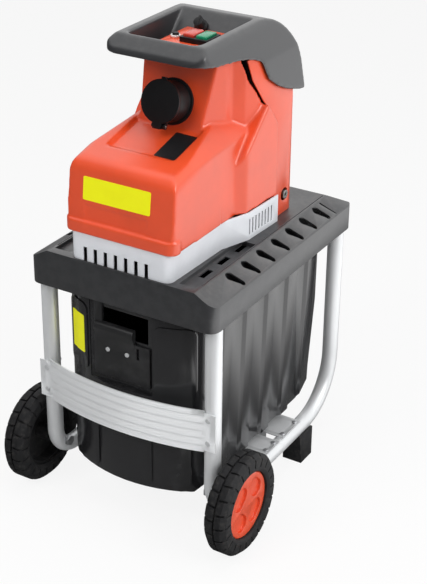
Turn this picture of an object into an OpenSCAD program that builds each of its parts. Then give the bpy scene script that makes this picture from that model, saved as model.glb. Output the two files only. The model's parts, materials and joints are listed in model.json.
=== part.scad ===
// Electric garden shredder on a two-wheeled tube frame, with a slide-out collection box.
// Millimetres, Z up. X is the width, and the box slides out towards +Y.
// The origin is on the floor, under the middle of the outline box.

/* [Frame] */
// Outer diameter of the frame tube
tube_d = 32; // [28:0.5:34]
// Wall of the frame tube
tube_wall = 2; // [1.5:0.25:3]
// Distance between the two side frames, centre to centre
frame_w = 365; // [355:1:400]
// Distance from the front legs to the rear legs, centre to centre
frame_l = 480; // [460:1:500]
// Height of the bottom run's centre line
rail_h = 72; // [66:1:80]
// Bend radius at the front of the bottom run
front_bend_r = 60; // [55:1:70]
// Bend radius at the rear of the bottom run
rear_bend_r = 115; // [90:1:120]
// How far the legs reach up inside the deck
leg_insert = 40; // [25:1:45]

/* [Front band] */
// Height of the band's lower edge
band_z = 212; // [180:1:230]
// Height of the band itself
band_h = 88; // [70:1:100]
// Thickness of the band
band_t = 3; // [2:0.25:4]
// How far the band bulges forward
band_bulge = 26; // [24:1:34]
// Number of grooves pressed along the band
band_grooves = 5; // [3:1:6]
// Shank diameter of the band bolts
bolt_d = 6; // [5:0.5:8]

/* [Cross plates] */
// Thickness of the plates that carry the box
plate_t = 2; // [1.5:0.25:3]
// Front edge of the front plate, behind the middle of the deck
front_plate_y = -45; // [-60:1:-40]
// Length of the front plate
front_plate_l = 55; // [40:1:60]
// Front edge of the rear plate, behind the middle of the deck
rear_plate_y = 25; // [20:1:35]
// Length of the rear plate
rear_plate_l = 75; // [60:1:85]

/* [Wheels and feet] */
// Wheel diameter over the tread
wheel_d = 200; // [190:1:210]
// Tyre width
tyre_w = 47; // [40:1:55]
// Diameter of the hub disc
hub_d = 134; // [120:1:140]
// Number of tread blocks round the tyre
tread_blocks = 22; // [16:1:26]
// Depth of the tread grooves
tread_depth = 5; // [3:0.5:7]
// Axle bolt diameter
axle_d = 12; // [10:0.5:14]
// Axle position behind the front legs
axle_back = 17; // [12:1:19]
// Length of the spacer between the tube and the wheel
spacer_l = 10.5; // [8:0.5:16]
// Middle of the feet, behind the middle of the deck
foot_y = 106; // [95:1:112]
// Length of a foot
foot_l = 54; // [44:1:60]
// Width of a foot
foot_w = 43; // [40:1:48]

/* [Deck] */
// Height of the deck's lower edge
deck_z = 470; // [455:1:500]
// Height of the deck at its middle
deck_h = 74; // [70:1:90]
// Height of the deck's side walls
deck_side_h = 50; // [46:1:56]
// Wall of the deck
deck_wall = 3; // [2.5:0.25:4]
// How far the deck reaches past the legs at front and rear
deck_overhang = 16; // [12:1:24]
// Width of the sloping strip along each side
slope_w = 42; // [38:1:46]
// Number of wide slots in each sloping strip
slot_count = 7; // [5:1:8]
// Width of a slot at its inner end
slot_w = 21; // [14:1:24]
// Distance from slot to slot
slot_pitch = 56; // [45:1:58]

/* [Collection box] */
// Wall of the box
box_wall = 3; // [2:0.25:4]
// Gap between the box's top edge and the deck
box_gap = 4; // [3:0.5:8]
// How far the front of the box bulges past the front legs
box_lead = 26; // [15:1:28]
// Gap from the rear of the box to the middle of the rear legs
box_rear_gap = 11; // [5:1:30]
// How much each side draws in towards the bottom
box_taper = 10; // [4:1:16]
// How far the side ribs stand out
box_rib = 5; // [3:0.5:6]
// How far the box slides out
box_travel = 500; // [300:10:520]
// Depth of the latch pocket in the front
pocket_depth = 14; // [11:0.5:18]
// Width of the latch pocket
pocket_w = 142; // [110:1:150]
// Height of the latch pocket's lower edge
pocket_z = 294; // [280:1:310]
// Middle of the latch pocket, to the right of the middle
pocket_x = -9; // [-15:1:15]
// Travel of the latch
latch_travel = 22; // [12:1:22]
// Thickness of the latch plate
latch_t = 4; // [3:0.25:5]
// Width of the latch plate
latch_w = 124; // [110:1:130]

/* [Motor housing] */
// Wall of the housing shells
shell = 3; // [2.5:0.25:4]
// Height of the vented skirt
skirt_h = 56; // [45:1:64]
// Number of vents in the front of the skirt
vent_count = 7; // [5:1:8]
// Half width of the nose at its front
nose_hw = 116; // [112:1:120]
// Front of the nose, ahead of the middle of the deck
nose_front = 270; // [268:1:271]
// Half width of the housing at its rear end
nose_rear_hw = 135; // [131:1:140]
// Height of the nose's front above the deck, below its rounded edge
nose_face_h = 166; // [164:1:170]
// Slope of the nose's top in degrees
nose_slope = 13.4; // [12:0.2:15]
// Half width of the tower's front
tower_hw = 67; // [60:1:76]
// Height of the tower above the deck
tower_h = 344; // [338:1:350]
// Half width of the chute housing
rear_hw = 128; // [124:1:129]
// Rear face of the chute housing, behind the middle of the deck
rear_y = 150; // [148:1:160]
// Height of the lower edge of the feed mouth above the deck
mouth_h = 241; // [236:1:255]

/* [Hood] */
// Wall of the hood
hood_wall = 4; // [3:0.25:5]
// Height of the hood's rim above the tower
hood_rise = 49; // [44:1:66]
// Half width of the control well
well_hw = 75; // [70:1:80]
// Half width of the feed mouth
mouth_hw = 98; // [80:1:105]

/* [Controls] */
// Height of the control panel above the floor of the well
panel_h = 18; // [16:1:26]
// Travel of the start and stop buttons
button_travel = 4; // [2:0.5:5]
// Travel of the reset button
reset_travel = 3; // [2:0.5:4]
// Diameter of the selector's skirt
knob_d = 26; // [20:1:30]

/* [Mains inlet] */
// Diameter of the hinged cap
cap_d = 80; // [72:1:84]
// Outer diameter of the inlet's collar
collar_d = 76; // [66:1:78]
// How far the collar stands out of the tower
collar_l = 40; // [34:1:46]
// Diameter of the cap's hinge pin
hinge_d = 4; // [3:0.25:5]

/* [Drive] */
// Height of the motor's axis above the deck
motor_h = 121; // [119:0.5:123]
// Diameter of the motor case
motor_d = 140; // [120:1:146]
// Length of the motor case
motor_l = 150; // [120:1:155]
// Diameter of the motor shaft
motor_shaft_d = 16; // [14:0.5:18]
// Height of the drum's axis above the deck
drum_h = 61; // [60:0.5:63]
// Diameter of the cutter drum over its teeth
drum_d = 92; // [80:1:94]
// Number of ridges on the cutter drum
drum_teeth = 8; // [6:1:10]
// Diameter of the drum shaft
drum_shaft_d = 24; // [20:1:26]
// Tooth module of the first gear pair
first_module = 1.5; // [1.4:0.05:1.55]
// Tooth module of the second gear pair
second_module = 2; // [1.9:0.05:2.05]
// Gap between the drum's teeth and the counter plate
anvil_gap = 2; // [1.5:0.1:4]
// Diameter of the counter plate's adjusting screw
adjuster_d = 10; // [8:0.5:12]

/* [Clearances] */
// Radial clearance of running fits
run_fit = 0.05; // [0.02:0.01:0.1]
// Clearance of parts that only have to pass
pass_fit = 0.3; // [0.2:0.05:0.5]

/* [Hidden] */
$fn = 64;
over = 1;

// Colours
red = "#d8402c";
dark_grey = "#4c4d50";
light_grey = "#c9cacc";
black = "#1d1d1f";
silver = "#b9bdc2";
steel = "#9a9ea3";
brass = "#c2a04a";

// Frame
tube_r = tube_d / 2;
frame_x = frame_w / 2;
leg_y = frame_l / 2;
deck_top = deck_z + deck_h;
leg_top = deck_z + leg_insert;
deck_tube_gap = 0.5;
deck_hw = frame_x + tube_r + deck_tube_gap + deck_wall;
deck_hl = leg_y + tube_r + deck_overhang;
deck_corner = 20;

// Wheels
wheel_r = wheel_d / 2;
hub_r = hub_d / 2;
axle_r = axle_d / 2;
axle_y = -leg_y + axle_back;
axle_z = wheel_r;
tube_side = frame_x + tube_r;
wheel_x = tube_side + spacer_l;
hub_out = tyre_w - 6;
snap_l = 4;
snap_out = 1.2;
snap_z = hub_out - 9;
nut_t = 8;
tread_gap = 4;
groove_slant = 8;
shoulder_cut = 24;
side_shift = tyre_w / 2 * tan(groove_slant);

// The outline box reaches from the front of the wheels to the back of the deck
shift_y = (wheel_r - axle_y - deck_hl) / 2;

// Front band
band_face = leg_y + tube_r;
band_span = frame_x - tube_r / 2;
band_r = (band_span * band_span + band_bulge * band_bulge) / (2 * band_bulge);
band_angle = asin(band_span / band_r);
band_bolts_z = [band_z + band_h * 0.25, band_z + band_h * 0.8];
bolt_r = bolt_d / 2;
groove_depth = 0.4;

// Cross plates
plate_top = rail_h + tube_r + plate_t;
plate_rows = [[front_plate_y, front_plate_l], [rear_plate_y, rear_plate_l]];
rivet_r = 2.5;
rivet_inset = 12;
rivet_y = [for (p = plate_rows, e = [rivet_inset, p[1] - rivet_inset]) p[0] + e];
plate_flange = 12;
flange_inset = 16;

// Feet
foot_top = rail_h - tube_r / 2;
foot_screw_z = rail_h - tube_r - 14;
foot_screw_r = 2.5;

// Collection box
box_rib_hw = frame_x - tube_r - 4;
box_hw = box_rib_hw - box_rib;
box_front = leg_y + box_lead;
box_rear = leg_y - box_rear_gap;
box_top = deck_z - box_gap;
box_bottom = plate_top + pass_fit;
box_front_r = 281;
box_corner_r = 55;
box_rear_r = 25;
box_bottom_edge = 12;
rib_count = 5;
rib_pitch = (box_front + box_rear) / 6;
rib_w = 50;
rib_flank = 10;
rib_root = 1.5;
rib_mid = (box_rear - box_front) / 2 + 0.4 * rib_pitch;
pocket_y = -box_front + pocket_depth;
latch_x = pocket_x + 2;
latch_z = pocket_z + 12;
latch_h = 114;
latch_plate_h = 84;
grip_x = latch_x - 14;
grip_w = 86;
grip_h = 38;
grip_out = 12;
tongue_w = 18;
tongue_x = latch_x - latch_w / 2 + tongue_w / 2 + 1;
tongue_top = box_top - 4;
latch_screw_x = latch_x - 9;
latch_screw_gap = 43;
latch_screw_z = latch_z + 59;
latch_screw_r = 2.5;
window_x = pocket_x + 9;
window_w = 100;
window_h = 54;
window_top = box_top - 16;
front_pad = 3;
panel_r = 14;
upper_panels = [[66, 140], [-140, -86]];
upper_panel_z = [303, box_top - 22];
lower_panels = [[66, 132], [-56, 61], [-132, -61]];
lower_panel_z = [box_bottom + 8, 226];

// Housing, with heights above the deck
fold_y = -78;
fold_l = 38;
nose_corner = 16;
nose_draft = 3;
nose_lean = 12;
nose_edge_r = 30;
nose_edge = [-nose_front + nose_lean + nose_edge_r, nose_face_h];
slope_start = nose_edge + nose_edge_r * [-sin(nose_slope), cos(nose_slope)];
fold_h = nose_face_h - 27;
fold_run = 123;
shoulder_y = -215;
shoulder_turn = 12;
shoulder_tilt = 38;
scoop_y = -200;
scoop_ramp = 12;
scoop_depth = 8;
scoop_hw = tower_hw + 4;
lip_h = 24;
lip_out = 3;
recess_x = -8;
recess_w = 134;
recess_h = 30;
slit_y = -108;
slit_h = 34;
slit_w = 3;
face_y = -98;
face_h = nose_face_h + 60;
face_top_y = -68;
face_top_h = face_h + 98;
face_lean = atan2(face_top_h - face_h, face_top_y - face_y);
part_gap = 1.5;
part_line = [[70, 0], [70, 201], [30, 254], [0, 301], [-12, 341], [-12, 420]];
draft_h = 225;
rear_top = tower_h - 4;
draft_in = 17;
sill_h = 6;

// Hood
hood_h = tower_h + hood_rise;
hood_out_hw = 136;
visor_hw = hood_out_hw - 27;
visor_front = -160;
visor_corner = 36;
well_corner = 18;
web_y = -22;
web_gap = 1;
hood_rear_r = 106;
hood_rear_y = 66;
lobe_h = mouth_h - 2;
well_front = -125;
well_back = 20;
well_floor_t = 3;
well_floor = tower_h + well_floor_t;
well_back_top = 78;
well_ramp = 15;
well_top = hood_h + 7;
well_tilt = atan2(well_top - well_floor, well_back_top - well_back);

// Controls
panel_hw = 48;
panel_top = well_floor + panel_h;
panel_front = face_top_y;
switch_x = 17;
switch_y = -22;
switch_w = 58;
switch_l = 50;
switch_t = 10;
switch_floor = 2;
button_w = 23;
button_l = 38;
button_pitch = 27;
button_rise = 5;
reset_x = -34;
reset_y = -24;
reset_r = 6;
reset_bezel_r = 9.5;
reset_bezel_t = 4;
knob_x = -18;
knob_along = 30;
knob_stem_r = 4;

// Mains inlet, in a frame that lies on the tower's face
inlet_y = -86;
inlet_h = face_h + (inlet_y - face_y) * tan(face_lean);
collar_r = collar_d / 2;
cup_r = collar_r - 9;
cup_floor = 6;
hinge_v = -collar_r - 6;
hinge_n = collar_l - 4;
hinge_r = hinge_d / 2;
hinge_out_r = hinge_r + 3.5;
ear_w = 6;
knuckle_w = 15;
cap_t = 6.5;
cap_gap = 0.4;

// Drive, with Y positions behind the middle of the deck
motor_r = motor_d / 2;
motor_front = -225;
motor_back = motor_front + motor_l;
shield_t = 6;
gearbox_front = motor_back + shield_t;
gearbox_wall = 4;
gearbox_l = 49;
gearbox_back = gearbox_front + gearbox_l;
gearbox_lid = 5;
motor_shaft_r = motor_shaft_d / 2;
rotor_r = 45;
rotor_air = 0.5;
drum_shaft_r = drum_shaft_d / 2;
drum_r = drum_d / 2;
drum_core_r = drum_r - 8;
pinion_teeth = 10;
wheel_teeth = 50;
pressure_angle = 25;
tooth_play = 0.12;
first_centre = first_module * (pinion_teeth + wheel_teeth) / 2;
second_centre = second_module * (pinion_teeth + wheel_teeth) / 2;
axis_drop = motor_h - drum_h;
idler_drop = (axis_drop * axis_drop + first_centre * first_centre
  - second_centre * second_centre) / (2 * axis_drop);
idler_x = sqrt(first_centre * first_centre - idler_drop * idler_drop);
idler_h = motor_h - idler_drop;
idler_r = 5;
pinion_seat_r = 4;
first_y = gearbox_front + 8;
first_w = 14;
second_y = first_y + first_w + 3;
second_w = 20;
first_angle = atan2(idler_h - motor_h, idler_x);
second_angle = atan2(drum_h - idler_h, -idler_x);
bearing_r = drum_shaft_r + 8;
cutter_front = 50;
cutter_plate = 6;
cutter_back = 140;
cutter_h = 112;
anvil_x = drum_r + anvil_gap;
anvil_t = 10;
anvil_h0 = 16;
anvil_h1 = 96;
bridge_x = anvil_x + anvil_t + 6;
bridge_t = 6;
cutter_hw_left = drum_r + 16;
cutter_hw_right = bridge_x + bridge_t;
adjuster_r = adjuster_d / 2;
adjuster_y = 113;
adjuster_h = 38;
adjuster_head_r = 9;
adjuster_recess_r = 13;
chute_top = mouth_h - 5;
chute_front_h = tower_h - 10;
chute_front_y = 22;
chute_wall = 2.5;
capacitor_r = 16;
capacitor_a = 20;
fan_r = motor_r - 16;
capacitor_l = 80;

// Points of an arc
function arc(c, r, a0, a1, n) =
  [for (i = [0:n]) c + r * [cos(a0 + (a1 - a0) * i / n), sin(a0 + (a1 - a0) * i / n)]];
// An outline whose left half mirrors the given right half
function both_sides(right) =
  concat(right, [for (i = [len(right) - 1:-1:0]) [-right[i][0], right[i][1]]]);
// Involute angle in degrees at radius r on base circle rb
function involute(rb, r) = let (a = acos(min(1, rb / r))) tan(a) * 180 / PI - a;
// Outline of one gear with its first tooth on the X axis
function gear_outline(m, z) = let (
    r = m * z / 2,
    rb = r * cos(pressure_angle),
    r_tip = r + 0.9 * m,
    r_root = r - 1.15 * m,
    half = 90 / z + involute(rb, r) - tooth_play / r * 180 / PI,
    flank = [max(rb, r_root), (max(rb, r_root) + r) / 2, r, (r + r_tip) / 2, r_tip])
  [for (i = [0:z - 1]) each concat(
    [r_root * [cos(360 * i / z - half), sin(360 * i / z - half)]],
    [for (q = flank) let (a = 360 * i / z - half + involute(rb, q)) q * [cos(a), sin(a)]],
    [for (k = [len(flank) - 1:-1:0]) let (a = 360 * i / z + half - involute(rb, flank[k]))
      flank[k] * [cos(a), sin(a)]],
    [r_root * [cos(360 * i / z + half), sin(360 * i / z + half)]])];

// Places
module at_deck() { translate([0, shift_y, 0]) children(); }
module on_deck() { translate([0, shift_y, deck_top]) children(); }
module wheel_side(side) {
  translate([side * wheel_x, axle_y, axle_z]) rotate([0, side * 90, 0]) children();
}
module on_face() { translate([0, inlet_y, inlet_h]) rotate([face_lean, 0, 0]) children(); }
module on_well_back() {
  translate([knob_x, well_back, well_floor]) rotate([well_tilt, 0, 0])
    translate([0, knob_along, 0]) children();
}

// Prisms along an axis, from an outline in the other two
module along_x(w) { rotate([90, 0, 90]) linear_extrude(height = w, center = true) children(); }
module along_y(y0, y1) {
  translate([0, y1, 0]) rotate([90, 0, 0]) linear_extrude(height = y1 - y0) children();
}
module rod_x(r, x0, x1) { translate([x0, 0, 0]) rotate([0, 90, 0]) cylinder(r = r, h = x1 - x0); }
module rod_y(r, y0, y1) { translate([0, y1, 0]) rotate([90, 0, 0]) cylinder(r = r, h = y1 - y0); }
module block(lo, hi) { translate(lo) cube(hi - lo); }
module both_x() {
  children();
  mirror([1, 0, 0]) children();
}

// Side frames
module bend(radius, r, start) {
  rotate([90, 0, 90]) rotate([0, 0, start]) rotate_extrude(angle = 90) translate([radius, 0]) circle(r);
}
module tube_path(r, extra) {
  translate([0, -leg_y, rail_h + front_bend_r])
    cylinder(r = r, h = leg_top - rail_h - front_bend_r + extra);
  translate([0, -leg_y + front_bend_r, rail_h + front_bend_r]) bend(front_bend_r, r, 180);
  translate([0, 0, rail_h]) rod_y(r, -leg_y + front_bend_r, leg_y - rear_bend_r);
  translate([0, leg_y - rear_bend_r, rail_h + rear_bend_r]) bend(rear_bend_r, r, 270);
  translate([0, leg_y, rail_h + rear_bend_r])
    cylinder(r = r, h = leg_top - rail_h - rear_bend_r + extra);
}
module frame_tube(side) {
  color(silver) at_deck() translate([side * frame_x, 0, 0]) difference() {
    tube_path(tube_r, 0);
    tube_path(tube_r - tube_wall, over);
    translate([0, axle_y, axle_z]) rod_x(axle_r + run_fit, -tube_d, tube_d);
    for (z = band_bolts_z) {
      translate([0, 0, z]) rod_y(bolt_r + run_fit, -leg_y - tube_d, -leg_y + tube_d);
    }
    for (y = rivet_y) {
      translate([0, y, rail_h]) cylinder(r = rivet_r + run_fit, h = tube_d);
    }
    translate([0, foot_y, rail_h - tube_d]) cylinder(r = foot_screw_r + run_fit, h = tube_d);
  }
}
module left_frame_tube() { frame_tube(-1); }
module right_frame_tube() { frame_tube(1); }

// Grooved band that ties the front legs together
module band_section() {
  groove = band_h / (2 * band_grooves + 1);
  difference() {
    translate([band_r - band_t, band_z]) square([band_t, band_h]);
    for (i = [1:2:2 * band_grooves - 1]) {
      translate([band_r - groove_depth, band_z + (i + 0.25) * groove]) square([band_t, groove / 2]);
    }
  }
}
module front_band() {
  color(silver) at_deck() difference() {
    union() {
      translate([0, -band_face - band_t - band_bulge + band_r, 0]) rotate([0, 0, 270 - band_angle])
        rotate_extrude(angle = 2 * band_angle, $fn = 360) band_section();
      both_x() block([band_span - 4, -band_face - band_t, band_z + 4],
        [frame_x + tube_r, -band_face, band_z + band_h - 4]);
    }
    for (s = [-1, 1], z = band_bolts_z) {
      translate([s * frame_x, 0, z]) rod_y(bolt_r + run_fit, -band_face - tube_d, -band_face + tube_d);
    }
  }
}
module band_bolts() {
  color(steel) at_deck() for (s = [-1, 1], z = band_bolts_z) translate([s * frame_x, 0, z]) {
    rod_y(bolt_r, -band_face - band_t, -leg_y + tube_r + 6);
    rod_y(bolt_r * 1.5, -band_face - band_t - 2.5, -band_face - band_t);
    rod_y(bolt_r * 1.9, -leg_y + tube_r, -leg_y + tube_r + 5);
  }
}

// Sheet plates that carry the box
module cross_plate(y0, len) {
  color(steel) at_deck() difference() {
    union() {
      block([-frame_x - tube_r / 2, y0, plate_top - plate_t], [frame_x + tube_r / 2, y0 + len, plate_top]);
      for (y = [y0, y0 + len - plate_t]) {
        block([-frame_x + tube_r + flange_inset, y, plate_top - plate_flange],
          [frame_x - tube_r - flange_inset, y + plate_t, plate_top - plate_t]);
      }
    }
    for (s = [-1, 1], e = [rivet_inset, len - rivet_inset]) {
      translate([s * frame_x, y0 + e, rail_h]) cylinder(r = rivet_r + run_fit, h = tube_d);
    }
  }
}
module front_cross_plate() { cross_plate(front_plate_y, front_plate_l); }
module rear_cross_plate() { cross_plate(rear_plate_y, rear_plate_l); }
module plate_rivets() {
  color(steel) at_deck() for (s = [-1, 1], y = rivet_y) translate([s * frame_x, y, plate_top]) {
    translate([0, 0, -plate_t - tube_wall - 3]) cylinder(r = rivet_r, h = plate_t + tube_wall + 3);
    cylinder(r = rivet_r * 2, h = 2);
  }
}

// Wheels on stub axles
module axle(side) {
  color(steel) at_deck() wheel_side(side) {
    translate([0, 0, -spacer_l - tube_d - nut_t])
      cylinder(r = axle_r, h = spacer_l + tube_d + nut_t + snap_z);
    translate([0, 0, snap_z - snap_l]) cylinder(r = axle_r + snap_out, h = snap_l);
  }
}
module left_axle() { axle(-1); }
module right_axle() { axle(1); }
module axle_spacers() {
  color(black) at_deck() for (s = [-1, 1]) wheel_side(s) difference() {
    translate([0, 0, -spacer_l]) cylinder(r = axle_r + 4, h = spacer_l - pass_fit);
    translate([0, 0, -spacer_l - over]) cylinder(r = axle_r + run_fit, h = spacer_l + 2 * over);
  }
}
module axle_nuts() {
  color(steel) at_deck() for (s = [-1, 1]) wheel_side(s) difference() {
    translate([0, 0, -spacer_l - tube_d - nut_t]) cylinder(r = axle_r * 1.9, h = nut_t, $fn = 6);
    translate([0, 0, -spacer_l - tube_d - nut_t - over])
      cylinder(r = axle_r + run_fit, h = nut_t + 2 * over);
  }
}
module tyre_section() {
  polygon([[hub_r, 3], [hub_r + 6, 0], [wheel_r - 9, 0], [wheel_r, 9], [wheel_r, tyre_w - 9],
    [wheel_r - 9, tyre_w], [hub_r + 6, tyre_w], [hub_r, tyre_w - 3]]);
}
module tread_groove(turn, side) {
  side_z = tyre_w / 2 * (1 + side);
  rotate([0, 0, turn]) {
    translate([wheel_r - tread_depth, 0, tyre_w / 2]) rotate([groove_slant * side, 0, 0])
      block([0, -tread_gap / 2, min(0, side * tyre_w)],
        [2 * tread_depth, tread_gap / 2, max(0, side * tyre_w)]);
    translate([wheel_r - shoulder_cut, -side_shift, side_z])
      block([0, -tread_gap / 2, -tread_depth / 2], [shoulder_cut + over, tread_gap / 2, tread_depth / 2]);
  }
}
module tyre(side) {
  color(black) at_deck() wheel_side(side) difference() {
    rotate_extrude($fn = 96) tyre_section();
    for (i = [0:tread_blocks - 1]) {
      tread_groove((i + 0.5) * 360 / tread_blocks, 1);
      tread_groove(i * 360 / tread_blocks, -1);
    }
    rotate_extrude($fn = 96) translate([wheel_r - tread_depth, (tyre_w - tread_gap) / 2])
      square([2 * tread_depth, tread_gap]);
  }
}
module left_tyre() { tyre(-1); }
module right_tyre() { tyre(1); }
module hub_recess() {
  long = hub_r * 0.36;
  wide = hub_r * 0.26;
  for (s = [-1, 1]) translate([0, s * (long - wide), 0]) cylinder(r = wide, h = 10);
  translate([-wide, wide - long, 0]) cube([2 * wide, 2 * (long - wide), 10]);
}
module hub(side) {
  seat = hub_r - 0.1;
  color(red) at_deck() wheel_side(side) difference() {
    rotate_extrude($fn = 96) polygon([[0, 0], [axle_r + 9, 0], [axle_r + 9, hub_out - 12],
      [seat - 5, hub_out - 12], [seat - 5, 8], [seat, 8], [seat, hub_out - 3], [seat - 3, hub_out],
      [0, hub_out]]);
    translate([0, 0, -over]) cylinder(r = axle_r + run_fit, h = snap_z);
    translate([0, 0, snap_z - snap_l - pass_fit])
      cylinder(r = axle_r + snap_out + pass_fit, h = snap_l + 2 * pass_fit);
    for (i = [0:3]) {
      rotate([0, 0, 90 * i + 45]) translate([hub_r * 0.55, 0, hub_out - 6]) hub_recess();
    }
  }
}
module left_hub() { hub(-1); }
module right_hub() { hub(1); }

// Rear feet
module foot(side) {
  color(black) at_deck() translate([side * frame_x, foot_y, 0]) difference() {
    intersection() {
      along_x(2 * foot_w) polygon([[-foot_l / 2 + 4, 0], [foot_l / 2 - 4, 0],
        [foot_l / 2, foot_top], [-foot_l / 2, foot_top]]);
      along_y(-foot_l, foot_l) polygon([[-foot_w / 2, 0], [foot_w / 2, 0], [foot_w / 2 - 2, foot_top],
        [2 - foot_w / 2, foot_top]]);
    }
    translate([0, 0, rail_h]) rod_y(tube_r + pass_fit, -foot_l, foot_l);
    translate([0, 0, -over]) cylinder(r = foot_screw_r + run_fit, h = rail_h);
    translate([0, 0, -over]) cylinder(r = foot_screw_r * 2.4, h = foot_screw_z + over);
  }
}
module left_foot() { foot(-1); }
module right_foot() { foot(1); }
module foot_screws() {
  color(steel) at_deck() for (s = [-1, 1]) translate([s * frame_x, foot_y, 0]) {
    translate([0, 0, foot_screw_z - 3]) cylinder(r = foot_screw_r * 2, h = 3);
    translate([0, 0, foot_screw_z - over])
      cylinder(r = foot_screw_r, h = rail_h - tube_r + tube_wall + 3 - foot_screw_z);
  }
}

// Deck between the frame and the motor housing
module deck_form(t) {
  intersection() {
    along_y(-deck_hl + t, deck_hl - t) polygon(both_sides([
      [deck_hw - t, deck_z - (t > 0 ? over : 0)], [deck_hw - t, deck_z + deck_side_h - 0.6 * t],
      [deck_hw - slope_w - 0.3 * t, deck_top - t]]));
    along_x(2 * deck_hw) polygon([[-deck_hl, deck_z - 2 * over], [deck_hl - t, deck_z - 2 * over],
      [deck_hl - t, deck_z + deck_side_h - 0.6 * t], [deck_hl - slope_w - 0.3 * t, deck_top - t],
      [-deck_hl, deck_top - t]]);
    translate([0, 0, deck_z - 2 * over]) linear_extrude(height = deck_h + 3 * over)
      polygon(both_sides(concat(
        arc([deck_hw - deck_corner, -deck_hl + deck_corner], deck_corner - t, -90, 0, 5),
        arc([deck_hw - deck_corner, deck_hl - deck_corner], deck_corner - t, 0, 90, 5))));
  }
}
trough_x0 = nose_hw + 2;
trough_x1 = deck_hw - slope_w - 6;
trough_y0 = -deck_hl + 18;
trough_y1 = -44;
trough_depth = 8;
shelf_z = deck_z + 10;
slot_mid = 3;
slot_slant = 10;
slot_tip = 0.57;
strip_line_w = 2;
strip_line_t = 1.5;
module trough(t) {
  both_x() block([trough_x0 - t, trough_y0 - t, deck_top - trough_depth - t],
    [trough_x1 + t, trough_y1 + t, deck_top + over]);
}
module deck_slot(y, w) {
  tip = w * slot_tip / 2;
  inner = [deck_hw - slope_w + 4 + w / 2, y - slot_slant / 2];
  outer = [deck_hw - deck_wall - 0.5 - tip, y + slot_slant / 2];
  translate([0, 0, deck_z + deck_side_h / 2]) linear_extrude(height = deck_h)
    polygon(concat(arc(inner, w / 2, 90, 270, 8), arc(outer, tip, -90, 90, 6)));
}
module leg_plugs() {
  for (sx = [-1, 1], sy = [-1, 1]) translate([sx * frame_x, sy * leg_y, 0]) {
    translate([0, 0, leg_top]) cylinder(r = tube_r + 3, h = deck_top - leg_top);
    translate([0, 0, leg_top - 24]) cylinder(r = tube_r - tube_wall - 0.1, h = 24 + over);
  }
}
module deck() {
  color(dark_grey) at_deck() difference() {
    union() {
      difference() {
        deck_form(0);
        difference() {
          deck_form(deck_wall);
          trough(deck_wall);
        }
      }
      intersection() {
        deck_form(0);
        leg_plugs();
      }
      both_x() block([deck_hw - slope_w, tube_d - leg_y, shelf_z],
        [deck_hw - deck_wall / 2, leg_y - tube_d, shelf_z + deck_wall]);
      both_x() block([deck_hw - slope_w - deck_wall / 2, tube_d - leg_y, shelf_z],
        [deck_hw - slope_w + deck_wall / 2, leg_y - tube_d, deck_top - 0.7 * deck_wall]);
    }
    trough(0);
    both_x() block([deck_hw - slope_w - 2 * strip_line_w, 30 - deck_hl, deck_top - strip_line_t],
      [deck_hw - slope_w - strip_line_w, deck_hl - slope_w - 6, deck_top + over]);
    for (s = [0, 1]) mirror([s, 0, 0]) {
      for (i = [0:slot_count - 1]) deck_slot(slot_mid + (i - (slot_count - 1) / 2) * slot_pitch, slot_w);
      deck_slot(slot_mid + slot_count / 2 * slot_pitch, slot_w / 4);
      for (i = [0:2]) {
        block([trough_x0 + 6, -200 + 62 * i, deck_z], [trough_x0 + 18, -166 + 62 * i, deck_top]);
      }
    }
    block([-cutter_hw_left + cutter_plate, cutter_front + cutter_plate, deck_z],
      [bridge_x - over, cutter_back, deck_top + over]);
  }
}
module interlock_switch() {
  color(black) at_deck() difference() {
    block([tongue_x - 20, pocket_y - 10, tongue_top + latch_travel + 4],
      [tongue_x + 20, pocket_y + 10, deck_top - deck_wall]);
    block([tongue_x - 6, pocket_y - 6, tongue_top + latch_travel],
      [tongue_x + 6, pocket_y + 1, deck_z + 30]);
  }
}

// Collection box and its latch
function box_plan(t) = both_sides(concat(
  arc([0, -box_front + box_front_r], box_front_r - t, 270, 270 + 24, 5),
  arc([box_hw - box_corner_r, -box_front + 81], box_corner_r - t, -70, 0, 6),
  arc([box_hw - box_rear_r, box_rear - box_rear_r], box_rear_r - t, 0, 90, 4)));
function box_side(t) = [[-box_front - 2 * front_pad, box_bottom + t], [box_rear - 130, box_bottom + t],
  [box_rear - 69 - 0.4 * t, box_bottom + 13 + 0.8 * t], [box_rear - 26 - t, box_bottom + 45],
  [box_rear - t, box_top + 2 * over], [-box_front - 2 * front_pad, box_top + 2 * over]];
function box_ends(hw, t) = both_sides([[hw - box_taper - box_bottom_edge, box_bottom + t],
  [hw - box_taper, box_bottom + box_bottom_edge + t], [hw, box_top + (t > 0 ? 2 * over : 0)]]);
module box_form(t) {
  intersection() {
    linear_extrude(height = deck_z) polygon(box_plan(t));
    along_x(2 * deck_hw) polygon(box_side(t));
    along_y(-2 * box_front, 2 * box_rear) polygon(box_ends(box_hw - t, t));
  }
}
module box_ribs() {
  foot_z = box_bottom + box_bottom_edge;
  rise = box_top - foot_z;
  intersection() {
    both_x() for (i = [0:rib_count - 1]) {
      translate([box_hw - box_taper, rib_mid + (i - (rib_count - 1) / 2) * rib_pitch, foot_z])
        rotate([0, atan(box_taper / rise), 0]) translate([0, 0, -over]) linear_extrude(height = 1.1 * rise)
          polygon([[-rib_root, -rib_w / 2], [box_rib - 0.1, rib_flank - rib_w / 2],
            [box_rib - 0.1, rib_w / 2 - rib_flank], [-rib_root, rib_w / 2]]);
    }
    along_x(2 * deck_hw) polygon(box_side(box_wall));
    block([-deck_hw, -deck_hl, box_bottom], [deck_hw, deck_hl, box_top]);
  }
}
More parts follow.
